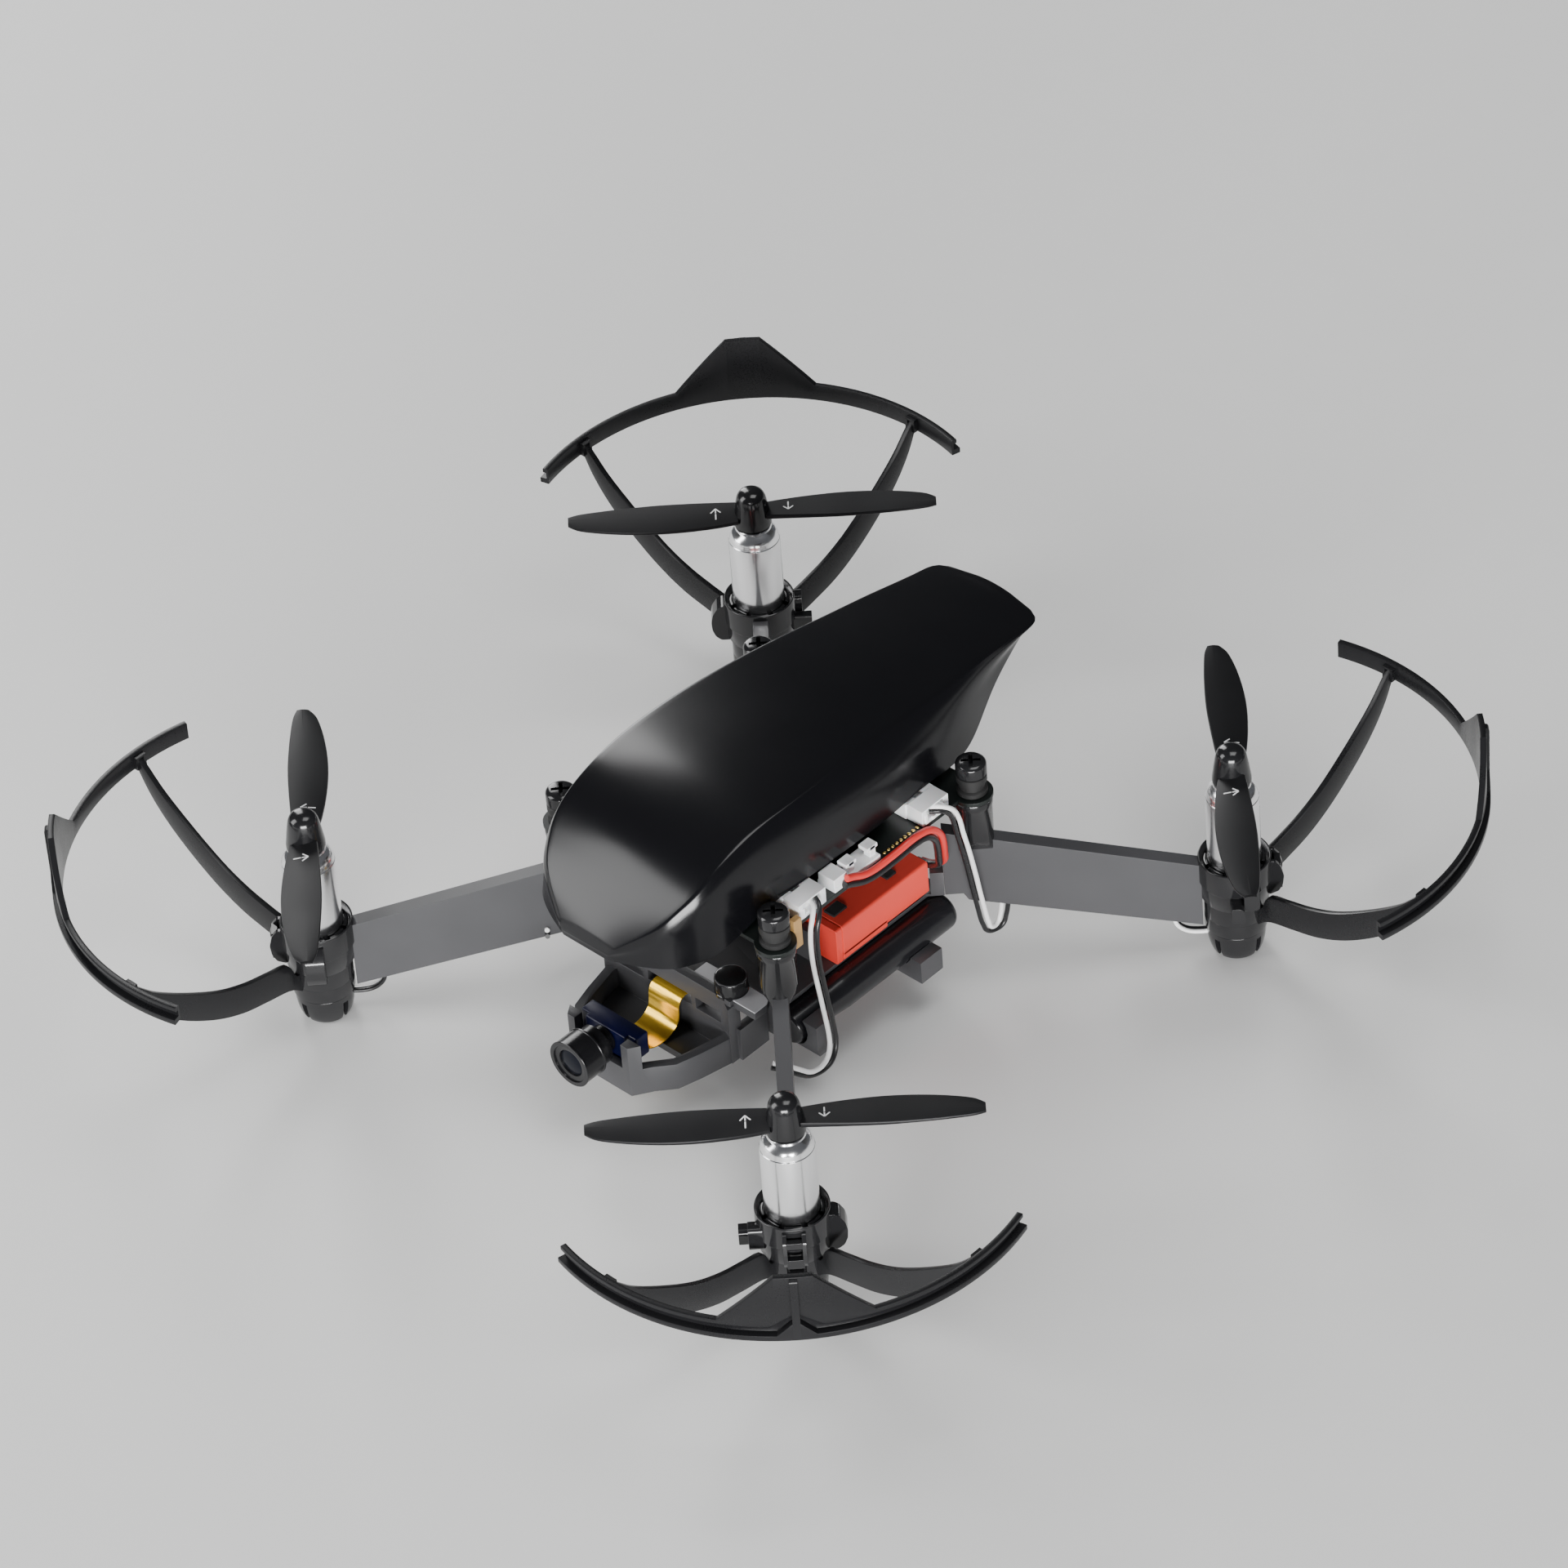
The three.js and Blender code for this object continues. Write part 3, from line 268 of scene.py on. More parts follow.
def turned(profile, steps=48, start=0, end=360, ease=0.0):
    """A closed outline of radius, height turned about the Z axis, or through part of a turn."""
    outline = eased(profile, ease) if ease else [Vector(p) for p in profile]
    full = end - start >= 360
    points, rows = [], []
    axis = {}
    for i in range(steps if full else steps + 1):
        angle = math.radians(start + (end - start) * i / steps)
        row = []
        for j, p in enumerate(outline):
            if abs(p.x) < 1e-6:
                if j not in axis:
                    axis[j] = len(points)
                    points.append(Vector((0, 0, p.y)))
                row.append(axis[j])
            else:
                row.append(len(points))
                points.append(Vector((p.x * math.cos(angle), p.x * math.sin(angle), p.y)))
        rows.append(row)
    faces = []
    for i in range(steps):
        near, far = rows[i], rows[(i + 1) % len(rows)]
        for j in range(len(outline)):
            k = (j + 1) % len(outline)
            face = list(dict.fromkeys((near[j], near[k], far[k], far[j])))
            if len(face) > 2:
                faces.append(tuple(face))
    if not full:
        faces += [tuple(rows[0]), tuple(rows[-1])]
    return Solid(points, faces)


def prism(outline, low, high):
    """Outline in x, y raised along z."""
    return loft([[Vector((*p, z)) for p in outline] for z in (low, high)])


def plate(outline, low, high):
    """Outline in x, z spread along y."""
    return loft([[Vector((x, y, z)) for x, z in outline] for y in (low, high)])


def block(x0, x1, y0, y1, z0, z1):
    return prism([(x0, y0), (x1, y0), (x1, y1), (x0, y1)], z0, z1)


def round_box(x0, x1, y0, y1, z0, z1, radius):
    return prism(eased([(x0, y0), (x1, y0), (x1, y1), (x0, y1)], radius, 4), z0, z1)


# ---- pieces -------------------------------------------------------------------

def piece(name, solid, finishes, stands_for=(), body="airframe", bevel=0.0, sharp=38, segments=2):
    mesh = bpy.data.meshes.new(name)
    mesh.from_pydata([p * MM for p in solid.points], [], solid.faces)
    for polygon, tone in zip(mesh.polygons, solid.tones):
        polygon.material_index = tone
        polygon.use_smooth = True
    edit = bmesh.new()
    edit.from_mesh(mesh)
    bmesh.ops.recalc_face_normals(edit, faces=edit.faces)
    edit.to_mesh(mesh)
    edit.free()
    settle(name, mesh, finishes, stands_for, body, bevel, sharp, segments)


def settle(name, mesh, finishes, stands_for, body, bevel, sharp, segments):
    """Put the mesh in the scene with its finishes, its edges, its body and the CAD nodes it stands for."""
    for made in finishes:
        mesh.materials.append(made)
    thing = bpy.data.objects.new(name, mesh)
    bpy.context.scene.collection.objects.link(thing)
    if bevel:
        edge = thing.modifiers.new("edges", "BEVEL")
        edge.width = bevel * MM
        edge.segments = segments
        edge.limit_method = "ANGLE"
        edge.angle_limit = math.radians(sharp)
        edge.harden_normals = True
    else:
        mesh.set_sharp_from_angle(angle=math.radians(sharp))
    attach(thing, body)
    if stands_for:
        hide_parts(*stands_for)


def rounded_copy(node, made, width):
    """The CAD node's own shape with its edges broken."""
    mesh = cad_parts[node].data.copy()
    mesh.materials.clear()
    edit = bmesh.new()
    edit.from_mesh(mesh)
    bmesh.ops.remove_doubles(edit, verts=edit.verts, dist=2e-6)
    bmesh.ops.dissolve_limit(edit, angle_limit=math.radians(1), verts=edit.verts, edges=edit.edges)
    for face in edit.faces:
        face.smooth = True
        face.material_index = 0
    bmesh.ops.recalc_face_normals(edit, faces=edit.faces)
    edit.to_mesh(mesh)
    edit.free()
    settle(f"{node}_detail", mesh, [made], [node], "airframe", width, 30, 2)


def carved(solid, others):
    """The solid with the others cut from it, as a new solid."""
    def temporary(part):
        mesh = bpy.data.meshes.new("tool")
        mesh.from_pydata(part.points, [], part.faces)
        edit = bmesh.new()
        edit.from_mesh(mesh)
        bmesh.ops.recalc_face_normals(edit, faces=edit.faces)
        edit.to_mesh(mesh)
        edit.free()
        thing = bpy.data.objects.new("tool", mesh)
        bpy.context.scene.collection.objects.link(thing)
        return thing

    base = temporary(solid)
    tools = [temporary(other) for other in others]
    for tool in tools:
        step = base.modifiers.new("step", "BOOLEAN")
        step.operation = "DIFFERENCE"
        step.object = tool
        step.solver = "EXACT"
    result = base.evaluated_get(bpy.context.evaluated_depsgraph_get()).to_mesh()
    out = Solid([v.co.copy() for v in result.vertices], [tuple(p.vertices) for p in result.polygons])
    for thing in [base, *tools]:
        bpy.data.objects.remove(thing)
    return out


# ---- cords: motor leads and battery leads ------------------------------------------

FRONT_LEAD = [
    (21.8, -13.2, 37.5), (22.9, -13.3, 37.4), (24.0, -14.9, 36.9), (24.6, -16.2, 34.6), (24.7, -16.5, 31.6),
    (24.7, -16.3, 27.5), (25.0, -15.8, 22.0), (25.4, -15.4, 17.0), (25.6, -15.1, 13.6), (26.0, -15.4, 11.0),
    (26.7, -17.3, 9.4), (27.0, -20.6, 9.6), (26.9, -22.6, 10.7), (26.4, -24.2, 12.2), (25.5, -25.5, 13.2),
    (24.1, -26.9, 13.9)]
REAR_LEAD = [
    (21.8, 13.4, 37.5), (22.9, 13.8, 37.5), (23.4, 15.0, 37.3), (23.6, 16.1, 36.2), (23.8, 16.8, 34.9),
    (24.0, 17.5, 31.2), (24.3, 18.3, 26.9), (24.5, 19.2, 21.7), (24.6, 20.0, 16.8), (24.7, 20.6, 13.4),
    (24.75, 21.1, 10.8), (24.85, 21.9, 8.7), (24.95, 23.1, 7.7), (25.1, 24.4, 8.4), (25.2, 25.1, 10.3),
    (25.3, 25.4, 12.5), (25.3, 25.3, 14.6)]
BATTERY_LEAD = [
    (15.4, 17.0, 21.0), (16.9, 17.1, 21.1), (18.6, 17.3, 21.9), (20.2, 16.9, 23.4), (21.3, 15.9, 25.9),
    (22.2, 14.9, 29.3), (22.9, 13.6, 32.4), (23.3, 11.2, 34.8), (23.5, 8.0, 35.6), (23.4, 4.0, 35.3),
    (23.3, -1.0, 35.2), (23.2, -3.6, 35.7), (23.0, -5.6, 36.6), (23.0, -7.0, 37.2)]


def beside(route, apart, across):
    """One wire of a pair: the route moved half the pair's pitch, square to the run and to `across`."""
    count = 90
    line = spaced(route, count)
    sides = []
    for i in range(count):
        side = across.cross((line[min(i + 1, count - 1)] - line[max(i - 1, 0)]).normalized())
        if side.length > 0.35:
            sides.append(side.normalized())
        elif sides:
            sides.append(sides[-1])
    sides = [sides[0]] * (count - len(sides)) + sides  # where the run starts along `across`
    out = []
    for i, p in enumerate(line):
        near = sides[max(0, i - 6):i + 7]
        out.append(p + (sum(near, Vector()) / len(near)).normalized() * apart)
    return out[::5] + [out[-1]]


def wire(name, points, diameter, made, node):
    """A round wire in place of a CAD lead."""
    line = spaced(points, 26)
    curve = bpy.data.curves.new(name, "CURVE")
    curve.dimensions = "3D"
    curve.bevel_depth = diameter / 2 * MM
    curve.bevel_resolution = 5
    curve.resolution_u = 5
    curve.use_fill_caps = True
    spline = curve.splines.new("BEZIER")
    spline.bezier_points.add(len(line) - 1)
    for knot, p in zip(spline.bezier_points, line):
        knot.co = p * MM
        knot.handle_left_type = knot.handle_right_type = "AUTO"
    curve.materials.append(made)
    thing = bpy.data.objects.new(name, curve)
    bpy.context.scene.collection.objects.link(thing)
    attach(thing, "airframe")
    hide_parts(node)


for corner, sx, sy in CORNERS:
    route, side = (FRONT_LEAD, MOTOR_HALF_PITCH) if sy < 0 else (REAR_LEAD, -MOTOR_HALF_PITCH)
    for tint, made, apart in (("white", WHITE_PVC, -side), ("black", BLACK_PVC, side)):
        line = [Vector((sx * p.x, p.y, p.z)) for p in beside(route, apart, Vector((0.72, -0.69, 0)))]
        wire(f"motor_wire_{tint}_{corner}", line, MOTOR_WIRE, made, f"motor_lead_{corner}")
for tint, made, apart in (("red", RED_PVC, -BATTERY_HALF_PITCH), ("black", BLACK_PVC, BATTERY_HALF_PITCH)):
    wire(f"battery_wire_{tint}", beside(BATTERY_LEAD, apart, Vector((1, -0.12, 0))), BATTERY_WIRE, made,
         "battery_lead")


# ---- motor corners ------------------------------------------------------------------

# reach, leading edge, trailing edge, pitch
BLADE = [
    (1.6, 2.0, 2.2, 9), (5.5, 2.3, 2.9, 8), (10, 2.6, 3.4, 6.5), (15, 2.8, 3.6, 5), (20, 2.7, 3.3, 4),
    (25, 2.4, 2.5, 3), (28.4, 2.0, 1.5, 2.5), (29.85, 1.5, 0.4, 2)]
BLADE_Z = 36.1
ROOT_R, TIP_R = BLADE[0][0], BLADE[-1][0]
MARK_R, MARK_STRETCH = 5.9, 3.2  # reach of the arrow, and millimetres to one share of the blade's width


def blade_half(reach):
    """Half the blade's thickness, which falls off towards the tip."""
    return 0.45 * (1 - 0.5 * reach / TIP_R) * 0.92


def blade_point(station, share, lift):
    """A point of the blade: share runs from -1 at the leading edge to 1 at the trailing edge."""
    reach, lead, trail, pitch = station
    middle, half, tilt = (trail - lead) / 2, (trail + lead) / 2, math.radians(pitch)
    u = middle + half * share
    v = lift + 0.16 * (1 - share * share)
    return Vector((reach, u * math.cos(tilt) + v * math.sin(tilt),
                   BLADE_Z - u * math.sin(tilt) + v * math.cos(tilt)))


def blade_at(reach):
    """The blade's station at a reach between the given ones."""
    line = flowing([(a[0], a[1], a[2]) for a in BLADE], 10)
    tilts = flowing([(a[0], a[3]) for a in BLADE], 10)
    for i in range(len(line) - 1):
        if line[i].x <= reach <= line[i + 1].x:
            t = (reach - line[i].x) / max(1e-9, line[i + 1].x - line[i].x)
            low, high = line[i].lerp(line[i + 1], t), tilts[i].lerp(tilts[i + 1], t)
            return reach, low.y, low.z, high.y
    return BLADE[-1]


def propeller():
    shares = [-0.965, -0.8, -0.4, 0, 0.4, 0.8, 0.965]
    rings = []
    for i in range(41):
        station = blade_at(ROOT_R + (TIP_R - ROOT_R) * i / 40)
        half = blade_half(station[0])
        ring = [blade_point(station, s, half) for s in shares]
        ring += [blade_point(station, 1, half * 0.55), blade_point(station, 1, -half * 0.55)]
        ring += [blade_point(station, s, -half) for s in reversed(shares)]
        ring += [blade_point(station, -1, -half * 0.55), blade_point(station, -1, half * 0.55)]
        rings.append(ring)
    blade = loft(rings)
    # a plain arrow pointing the way the blade turns, drawn with thin strokes
    strokes = [((MARK_R, 0.5), (MARK_R, -0.4)), ((MARK_R, -0.4), (5.1, -0.05)), ((MARK_R, -0.4), (6.7, -0.05))]
    marks = Solid([], [])
    for (r0, s0), (r1, s1) in strokes:
        off = Vector((s0 - s1, (r1 - r0) / MARK_STRETCH)).normalized() * 0.11
        rise_by = off.y / MARK_STRETCH
        corners = [(r0 + off.x, s0 + rise_by), (r1 + off.x, s1 + rise_by),
                   (r1 - off.x, s1 - rise_by), (r0 - off.x, s0 - rise_by)]
        marks += loft([[blade_point(blade_at(r), t, blade_half(r) + lift) for r, t in corners]
                       for lift in (0.03, 0.0)])
    hub = turned([(0, 38.2), (0.55, 38.2), (0.55, 34), (2.9, 34), (3.12, 34.2), (3.1, 34.9), (2.95, 35.8),
                  (2.78, 37.1), (2.6, 38.2), (2.4, 39.2), (2.2, 39.7), (1.95, 40.08), (1.55, 40.38), (1.1, 40.57),
                  (0.55, 40.68), (0, 40.7)], 56).toned(1)
    wings = blade + marks.toned(2)
    return wings + wings.moved(at(turn=180)) + hub


def motor_can():
    return turned([(0.62, 30.5), (0.62, 33.6), (2.75, 33.6), (2.9, 33.45), (2.92, 33.25), (3.05, 33.1),
                   (3.45, 32.8), (3.85, 32.2), (4.08, 31.55), (4.12, 31.05), (4.16, 30.98), (4.22, 30.93),
                   (4.25, 30.84), (4.25, 12.0), (4.15, 11.7), (3.85, 11.7), (3.85, 30.8), (2.9, 32.2),
                   (1.5, 32.2), (1.5, 30.5)], 72)


def motor_rotor():
    return turned([(0, 12.3), (0.5, 12.3), (0.5, 13.9), (3.3, 13.9), (3.3, 27.2), (2.8, 27.2), (2.8, 14.9),
                   (0.5, 14.9), (0.5, 38.0), (0.4, 38.1), (0, 38.1)], 40)


def end_cap():
    return turned([(0.6, 12.1), (0.6, 11.0), (0.75, 10.8), (1.3, 10.8), (1.4, 10.9), (1.4, 11.75), (3.7, 11.75),
                   (3.8, 11.85), (3.8, 13.2), (3.7, 13.3), (0.6, 13.3)], 40)


def ramp(value, low, high):
    return min(high, max(low, value))


GUARD_R = 38.9
GUARD_HALF_ANGLE = 59.7


def guard():
    # the ring has a section wherever its peak or its slot changes slope
    kinks = [math.degrees(math.asin(y / GUARD_R)) for y in (11.6, 4.1, 2.9, 2.85, 0.65)]
    even = {round(-GUARD_HALF_ANGLE + 2 * GUARD_HALF_ANGLE * i / 60, 3) for i in range(61)}
    rings = []
    for angle in sorted(even | {s * k for k in kinks for s in (-1, 1)}):
        y = abs(GUARD_R * math.sin(math.radians(angle)))
        top = 32.4 + 9.1 * ramp((11.6 - y) / 8.75, 0, 1)
        low, high = 30.4 + ramp(2.9 - y, 0, 2.3), 31.6 + 0.66 * ramp(4.1 - y, 0, 3.5)
        outline = [(38.4, 29.4), (40.0, 29.4), (40.0, low), (38.8, low), (38.8, high), (39.4, high), (39.4, top),
                   (38.4, top)]
        turn = math.radians(angle)
        rings.append([Vector((r * math.cos(turn), r * math.sin(turn), z)) for r, z in eased(outline, 0.12, 2)])
    ring = loft(rings)
    rib = plate(eased([(39.0, 29.5), (40.0, 29.5), (40.0, 40.9), (39.7, 41.3), (39.0, 41.3)], 0.15, 2),
                -0.58, 0.58)
    low = [(4.5, 6.6), (7, 8.6), (12, 9.8), (17, 11.0), (22.6, 13.5), (29.1, 17.9), (33.6, 22.0), (36.6, 26.0),
           (38.4, 29.6)]
    high = [(4.6, 10.6), (5.9, 10.8), (6.2, 12.0), (7.2, 13.8), (11, 14.8), (15.5, 15.9), (20.5, 17.9), (27, 21.9),
            (33.5, 26.8), (37, 30.4), (38.6, 31.7)]
    rings = []
    for a, b in zip(spaced(low, 44), spaced(high, 44)):
        tall, way = (b - a).length, (b - a).normalized()
        section = eased([(-0.5, 0), (0.5, 0), (0.5, tall), (-0.5, tall)], 0.14, 2)
        rings.append([Vector((*(a + way * t), s)).xzy for s, t in section])
    spoke = loft(rings)
    clip = block(37.6, 38.5, -1.0, -0.55, 29.5, 31.7) + block(37.6, 38.5, 0.55, 1.0, 29.5, 31.7)
    clip += block(37.6, 38.5, -1.0, 1.0, 31.6, 31.95)
    arms = [(spoke + clip).moved(at(turn=t)) for t in (-45, 45)]
    collar = turned([(4.2, 5.0), (4.98, 5.0), (4.98, 7.6), (4.2, 7.6)], 64, ease=0.15)
    collar += turned([(4.2, 7.5), (4.98, 7.5), (4.98, 10.9), (4.2, 10.9)], 56, 17.5, 342.5, ease=0.15)
    latch = plate(eased([(4.3, 8.2), (4.75, 8.2), (5.25, 9.3), (4.3, 9.3)], 0.1, 2), -1.1, 1.1)
    return ring + rib + arms[0] + arms[1] + (collar + latch).toned(1)


def arm_top(r):
    return 35.3 - 0.264 * r


def arm_bottom(r):
    return 21.3 - 0.2375 * r


def arm():
    start, end = 26.5, MOTOR_REACH - 5.28
    outline = [(start, 15.5), (29.4, 15.5), (30.2, arm_bottom(30.2)), (end, arm_bottom(end)), (end, 11.2),
               (end + 1.6, 11.2), (end + 1.6, arm_top(end + 1.6)), (start, arm_top(start))]
    blade = plate(outline, -1.25, 1.25)
    # screw boss, which tapers onto the blade below
    boss = turned([(0, 27.2), (3.0, 27.2), (3.0, 33.2), (3.12, 33.4), (3.12, 34.5), (2.95, 34.75), (0, 34.75)], 48)
    turns = [2 * math.pi * k / 48 for k in range(48)]
    rings = []
    for z, wide in ((24.4, 1.2), (24.9, 1.45), (25.5, 1.9), (26.1, 2.35), (26.7, 2.75), (27.3, 3.0)):
        rings.append([Vector((2.99 * math.cos(t), ramp(2.99 * math.sin(t), -wide, wide), z)) for t in turns])
    boss = (boss + loft(rings)).moved(at(SCREW_REACH))
    barrel = turned([(4.35, 11.65), (4.35, 17.3), (4.75, 17.6), (5.45, 18.6), (5.6, 18.7), (5.75, 18.6), (5.8, 18.4),
                     (5.8, 14.4), (5.5, 14.05), (5.5, 11.2), (5.35, 11.0), (4.15, 11.0), (4.15, 4.9), (4.6, 4.9),
                     (4.73, 4.75), (4.68, 3.7), (3.4, 3.7), (3.4, 11.65)], 64)
    foot = [(3.4, 3.9), (4.69, 3.9), (4.66, 3.3), (4.52, 2.2), (4.28, 1.15), (4.0, 0.4), (3.8, 0.08), (3.55, 0.0),
            (3.4, 0.15)]
    crown = Solid([], [])
    for k in range(4):
        crown += turned(foot, 14, 45 + 90 * k + 6.2, 135 + 90 * k - 6.2)
    teeth = Solid([], [])
    for k in range(8):
        teeth += turned([(4.33, 17.0), (4.9, 17.0), (4.9, 18.0), (4.6, 18.15), (4.33, 18.1)], 8,
                        45 * k - 17, 45 * k + 17)
    lugs = plate(eased([(-1.2, 11.6), (0.9, 11.6), (0.9, 13.8), (0.4, 14.4), (-1.2, 14.4)], 0.3), -8.4, -5.2)
    lugs += plate(eased([(0.9, 12.6), (3.4, 12.6), (3.4, 16.9), (0.9, 16.9)], 0.8), -6.9, -4.6)
    wing = [(5.0, 10.6), (6.6, 10.6), (7.5, 11.4), (8.0, 12.7), (8.1, 14.2), (7.8, 15.8), (7.0, 17.1), (6.2, 17.6),
            (5.0, 17.6)]
    lugs += loft([[Vector((x, y, z)) for y, z in eased(wing, 0.3)] for x in (-1.1, 1.9)])
    cheek = [(5.2, 11.3), (6.7, 11.9), (7.4, 13.2), (7.6, 15.0), (7.1, 17.0), (6.2, 18.1), (5.2, 18.1)]
    clip = plate(eased(cheek, 0.3), -1.8, -1.15)
    clip += clip.moved(Matrix.Scale(-1, 4, Y))
    clip += block(6.3, 7.35, -1.3, 1.3, 12.2, 13.9) + block(6.2, 7.2, -1.3, 1.3, 16.0, 17.2)
    gloss = boss + (barrel + crown + teeth + lugs + clip).moved(at(MOTOR_REACH))
    return blade + gloss.toned(1)


def screw():
    body = turned([(0, 28.4), (0.8, 28.4), (0.95, 28.7), (0.95, 39.3), (2.3, 39.3), (2.47, 39.45), (2.47, 41.15),
                   (2.38, 41.4), (2.15, 41.62), (1.8, 41.76), (1.2, 41.86), (0, 41.9)], 48)
    slots = [block(-1.55, 1.55, -0.32, 0.32, 40.7, 43).moved(at(turn=t)) for t in (45, 135)]
    return carved(body, slots)


def grommet():
    return turned([(1.1, 35.65), (2.35, 35.65), (2.45, 35.75), (2.45, 36.5), (2.05, 36.75), (2.05, 37.75), (2.45, 38.0),
                   (2.45, 39.1), (2.35, 39.2), (1.1, 39.2)], 40)


TAIL = [(62.2, 0, 8.8), (62.2, 0, 6.9), (62.7, 0, 5.0), (64.2, 0, 3.7), (66.4, 0, 3.3), (68.6, 0, 3.6),
        (70.4, 0, 4.6), (71.6, 0, 6.4), (72.0, 0, 8.6)]

shapes = {"arm": arm(), "guard": guard(), "propeller": propeller(), "can": motor_can(), "rotor": motor_rotor(),
          "cap": end_cap(), "screw": screw(), "grommet": grommet()}

for corner, sx, sy in CORNERS:
    heading = math.degrees(math.atan2(sy, sx))
    hand = -sx * sy
    root = at(turn=heading)
    motor = root @ at(MOTOR_REACH)
    spinner = f"spinner_{corner}"
    piece(f"arm_{corner}_moulding", shapes["arm"].moved(root), [SATIN, MOULD_GLOSS], [f"arm_{corner}"],
          bevel=0.14)
    piece(f"guard_{corner}_moulding", shapes["guard"].moved(motor), [GUARD, MOULD_GLOSS],
          [f"prop_guard_{corner}"], sharp=32)
    piece(f"can_{corner}_drawn", shapes["can"].moved(motor), [CHROME], [f"motor_can_{corner}"], sharp=50)
    piece(f"cap_{corner}_moulding", shapes["cap"].moved(motor), [NYLON], [f"motor_end_cap_{corner}"])
    piece(f"rotor_{corner}_turned", shapes["rotor"].moved(motor), [STEEL],
          [f"motor_rotor_{corner}"], body=spinner)
    piece(f"propeller_{corner}_moulding", shapes["propeller"].moved(motor @ at(turn=90) @ Matrix.Scale(hand, 4, Y)),
          [BLADE_BLACK, HUB_BLACK, INK], [f"propeller_{corner}"], body=spinner, sharp=42)
    seat = at(sx * SCREW_OFFSET, sy * SCREW_OFFSET)
    piece(f"screw_{corner}_turned", shapes["screw"].moved(seat), [OXIDE], [f"canopy_screw_{corner}"])
    piece(f"grommet_{corner}_moulding", shapes["grommet"].moved(seat), [RUBBER],
          [f"grommet_{corner}"])
    rounded_copy(f"motor_header_{corner}", NYLON, 0.14)
    rounded_copy(f"motor_plug_{corner}", NYLON, 0.14)
    for tint, made, apart in (("white", WHITE_PVC, -TAIL_HALF_PITCH), ("black", BLACK_PVC, TAIL_HALF_PITCH)):
        wire(f"tail_wire_{tint}_{corner}", [root @ (Vector(p) + Y * apart) for p in TAIL], TAIL_WIRE, made,
             f"motor_tail_{corner}")


# ---- canopy -------------------------------------------------------------------------

# along the length: y, foot half-width, foot z, waist half-width, waist z, crest half-width, crest z, ridge z
STATIONS = [
    (-41.0, 4.6, 34.5, 4.5, 35.2, 4.4, 35.9, 36.2), (-39.4, 8.6, 34.5, 8.2, 36.2, 7.4, 38.3, 39.1),
    (-37.2, 12.9, 34.5, 12.1, 37.8, 11.0, 41.2, 42.2), (-34.4, 16.4, 34.6, 15.6, 39.7, 14.2, 44.3, 45.3),
    (-29.8, 17.4, 34.9, 16.9, 41.2, 15.2, 47.7, 48.6), (-24.4, 17.6, 35.9, 17.6, 43.2, 15.4, 49.9, 50.7),
    (-18.7, 18.6, 38.7, 18.2, 44.8, 15.5, 51.3, 52.0), (-12.7, 18.9, 38.6, 18.7, 45.6, 15.8, 51.6, 52.4),
    (-3.8, 19.3, 38.8, 18.9, 46.0, 15.7, 51.5, 52.4), (7.5, 19.3, 38.8, 18.6, 45.6, 14.8, 51.0, 51.9),
    (16.3, 18.6, 38.9, 17.7, 44.6, 14.3, 50.0, 50.8), (25.3, 17.4, 37.0, 16.3, 43.2, 13.5, 48.8, 49.6),
    (31.0, 15.6, 37.2, 14.8, 42.8, 12.9, 48.1, 48.9), (38.0, 12.6, 40.0, 12.5, 43.2, 12.1, 47.4, 48.1),
    (45.0, 11.0, 43.0, 11.2, 44.4, 11.3, 46.2, 46.9), (51.2, 9.4, 44.4, 10.2, 44.9, 10.6, 45.5, 46.2),
    (52.4, 7.0, 44.6, 7.6, 45.1, 8.0, 45.6, 46.3), (53.0, 3.2, 44.8, 3.6, 45.2, 3.9, 45.8, 46.2)]


HOOD_FRONT, HOOD_BACK = -41, 53
HOOD_WALL = 1.0


def hood_rows():
    """The stations every 0.75 mm, smoothed along the length except close to the two ends."""
    count = 126
    ys = [HOOD_FRONT + (HOOD_BACK - HOOD_FRONT) * i / (count - 1) for i in range(count)]
    columns = []
    for k in range(1, 8):
        line = flowing([(s[0], s[k]) for s in STATIONS], 10)
        column, j = [], 0
        for y in ys:
            while j < len(line) - 2 and line[j + 1].x < y:
                j += 1
            t = ramp((y - line[j].x) / max(1e-9, line[j + 1].x - line[j].x), 0, 1)
            column.append(line[j].y + (line[j + 1].y - line[j].y) * t)
        smooth = []
        for i in range(count):
            reach = min(3.2, 0.45 * (ys[i] - HOOD_FRONT), 0.4 * (HOOD_BACK - ys[i]))
            if reach < 0.3:
                smooth.append(column[i])
                continue
            weights = [math.exp(-0.5 * ((y - ys[i]) / reach) ** 2) for y in ys]
            smooth.append(sum(w * c for w, c in zip(weights, column)) / sum(weights))
        columns.append(smooth)
    return list(zip(ys, *columns))


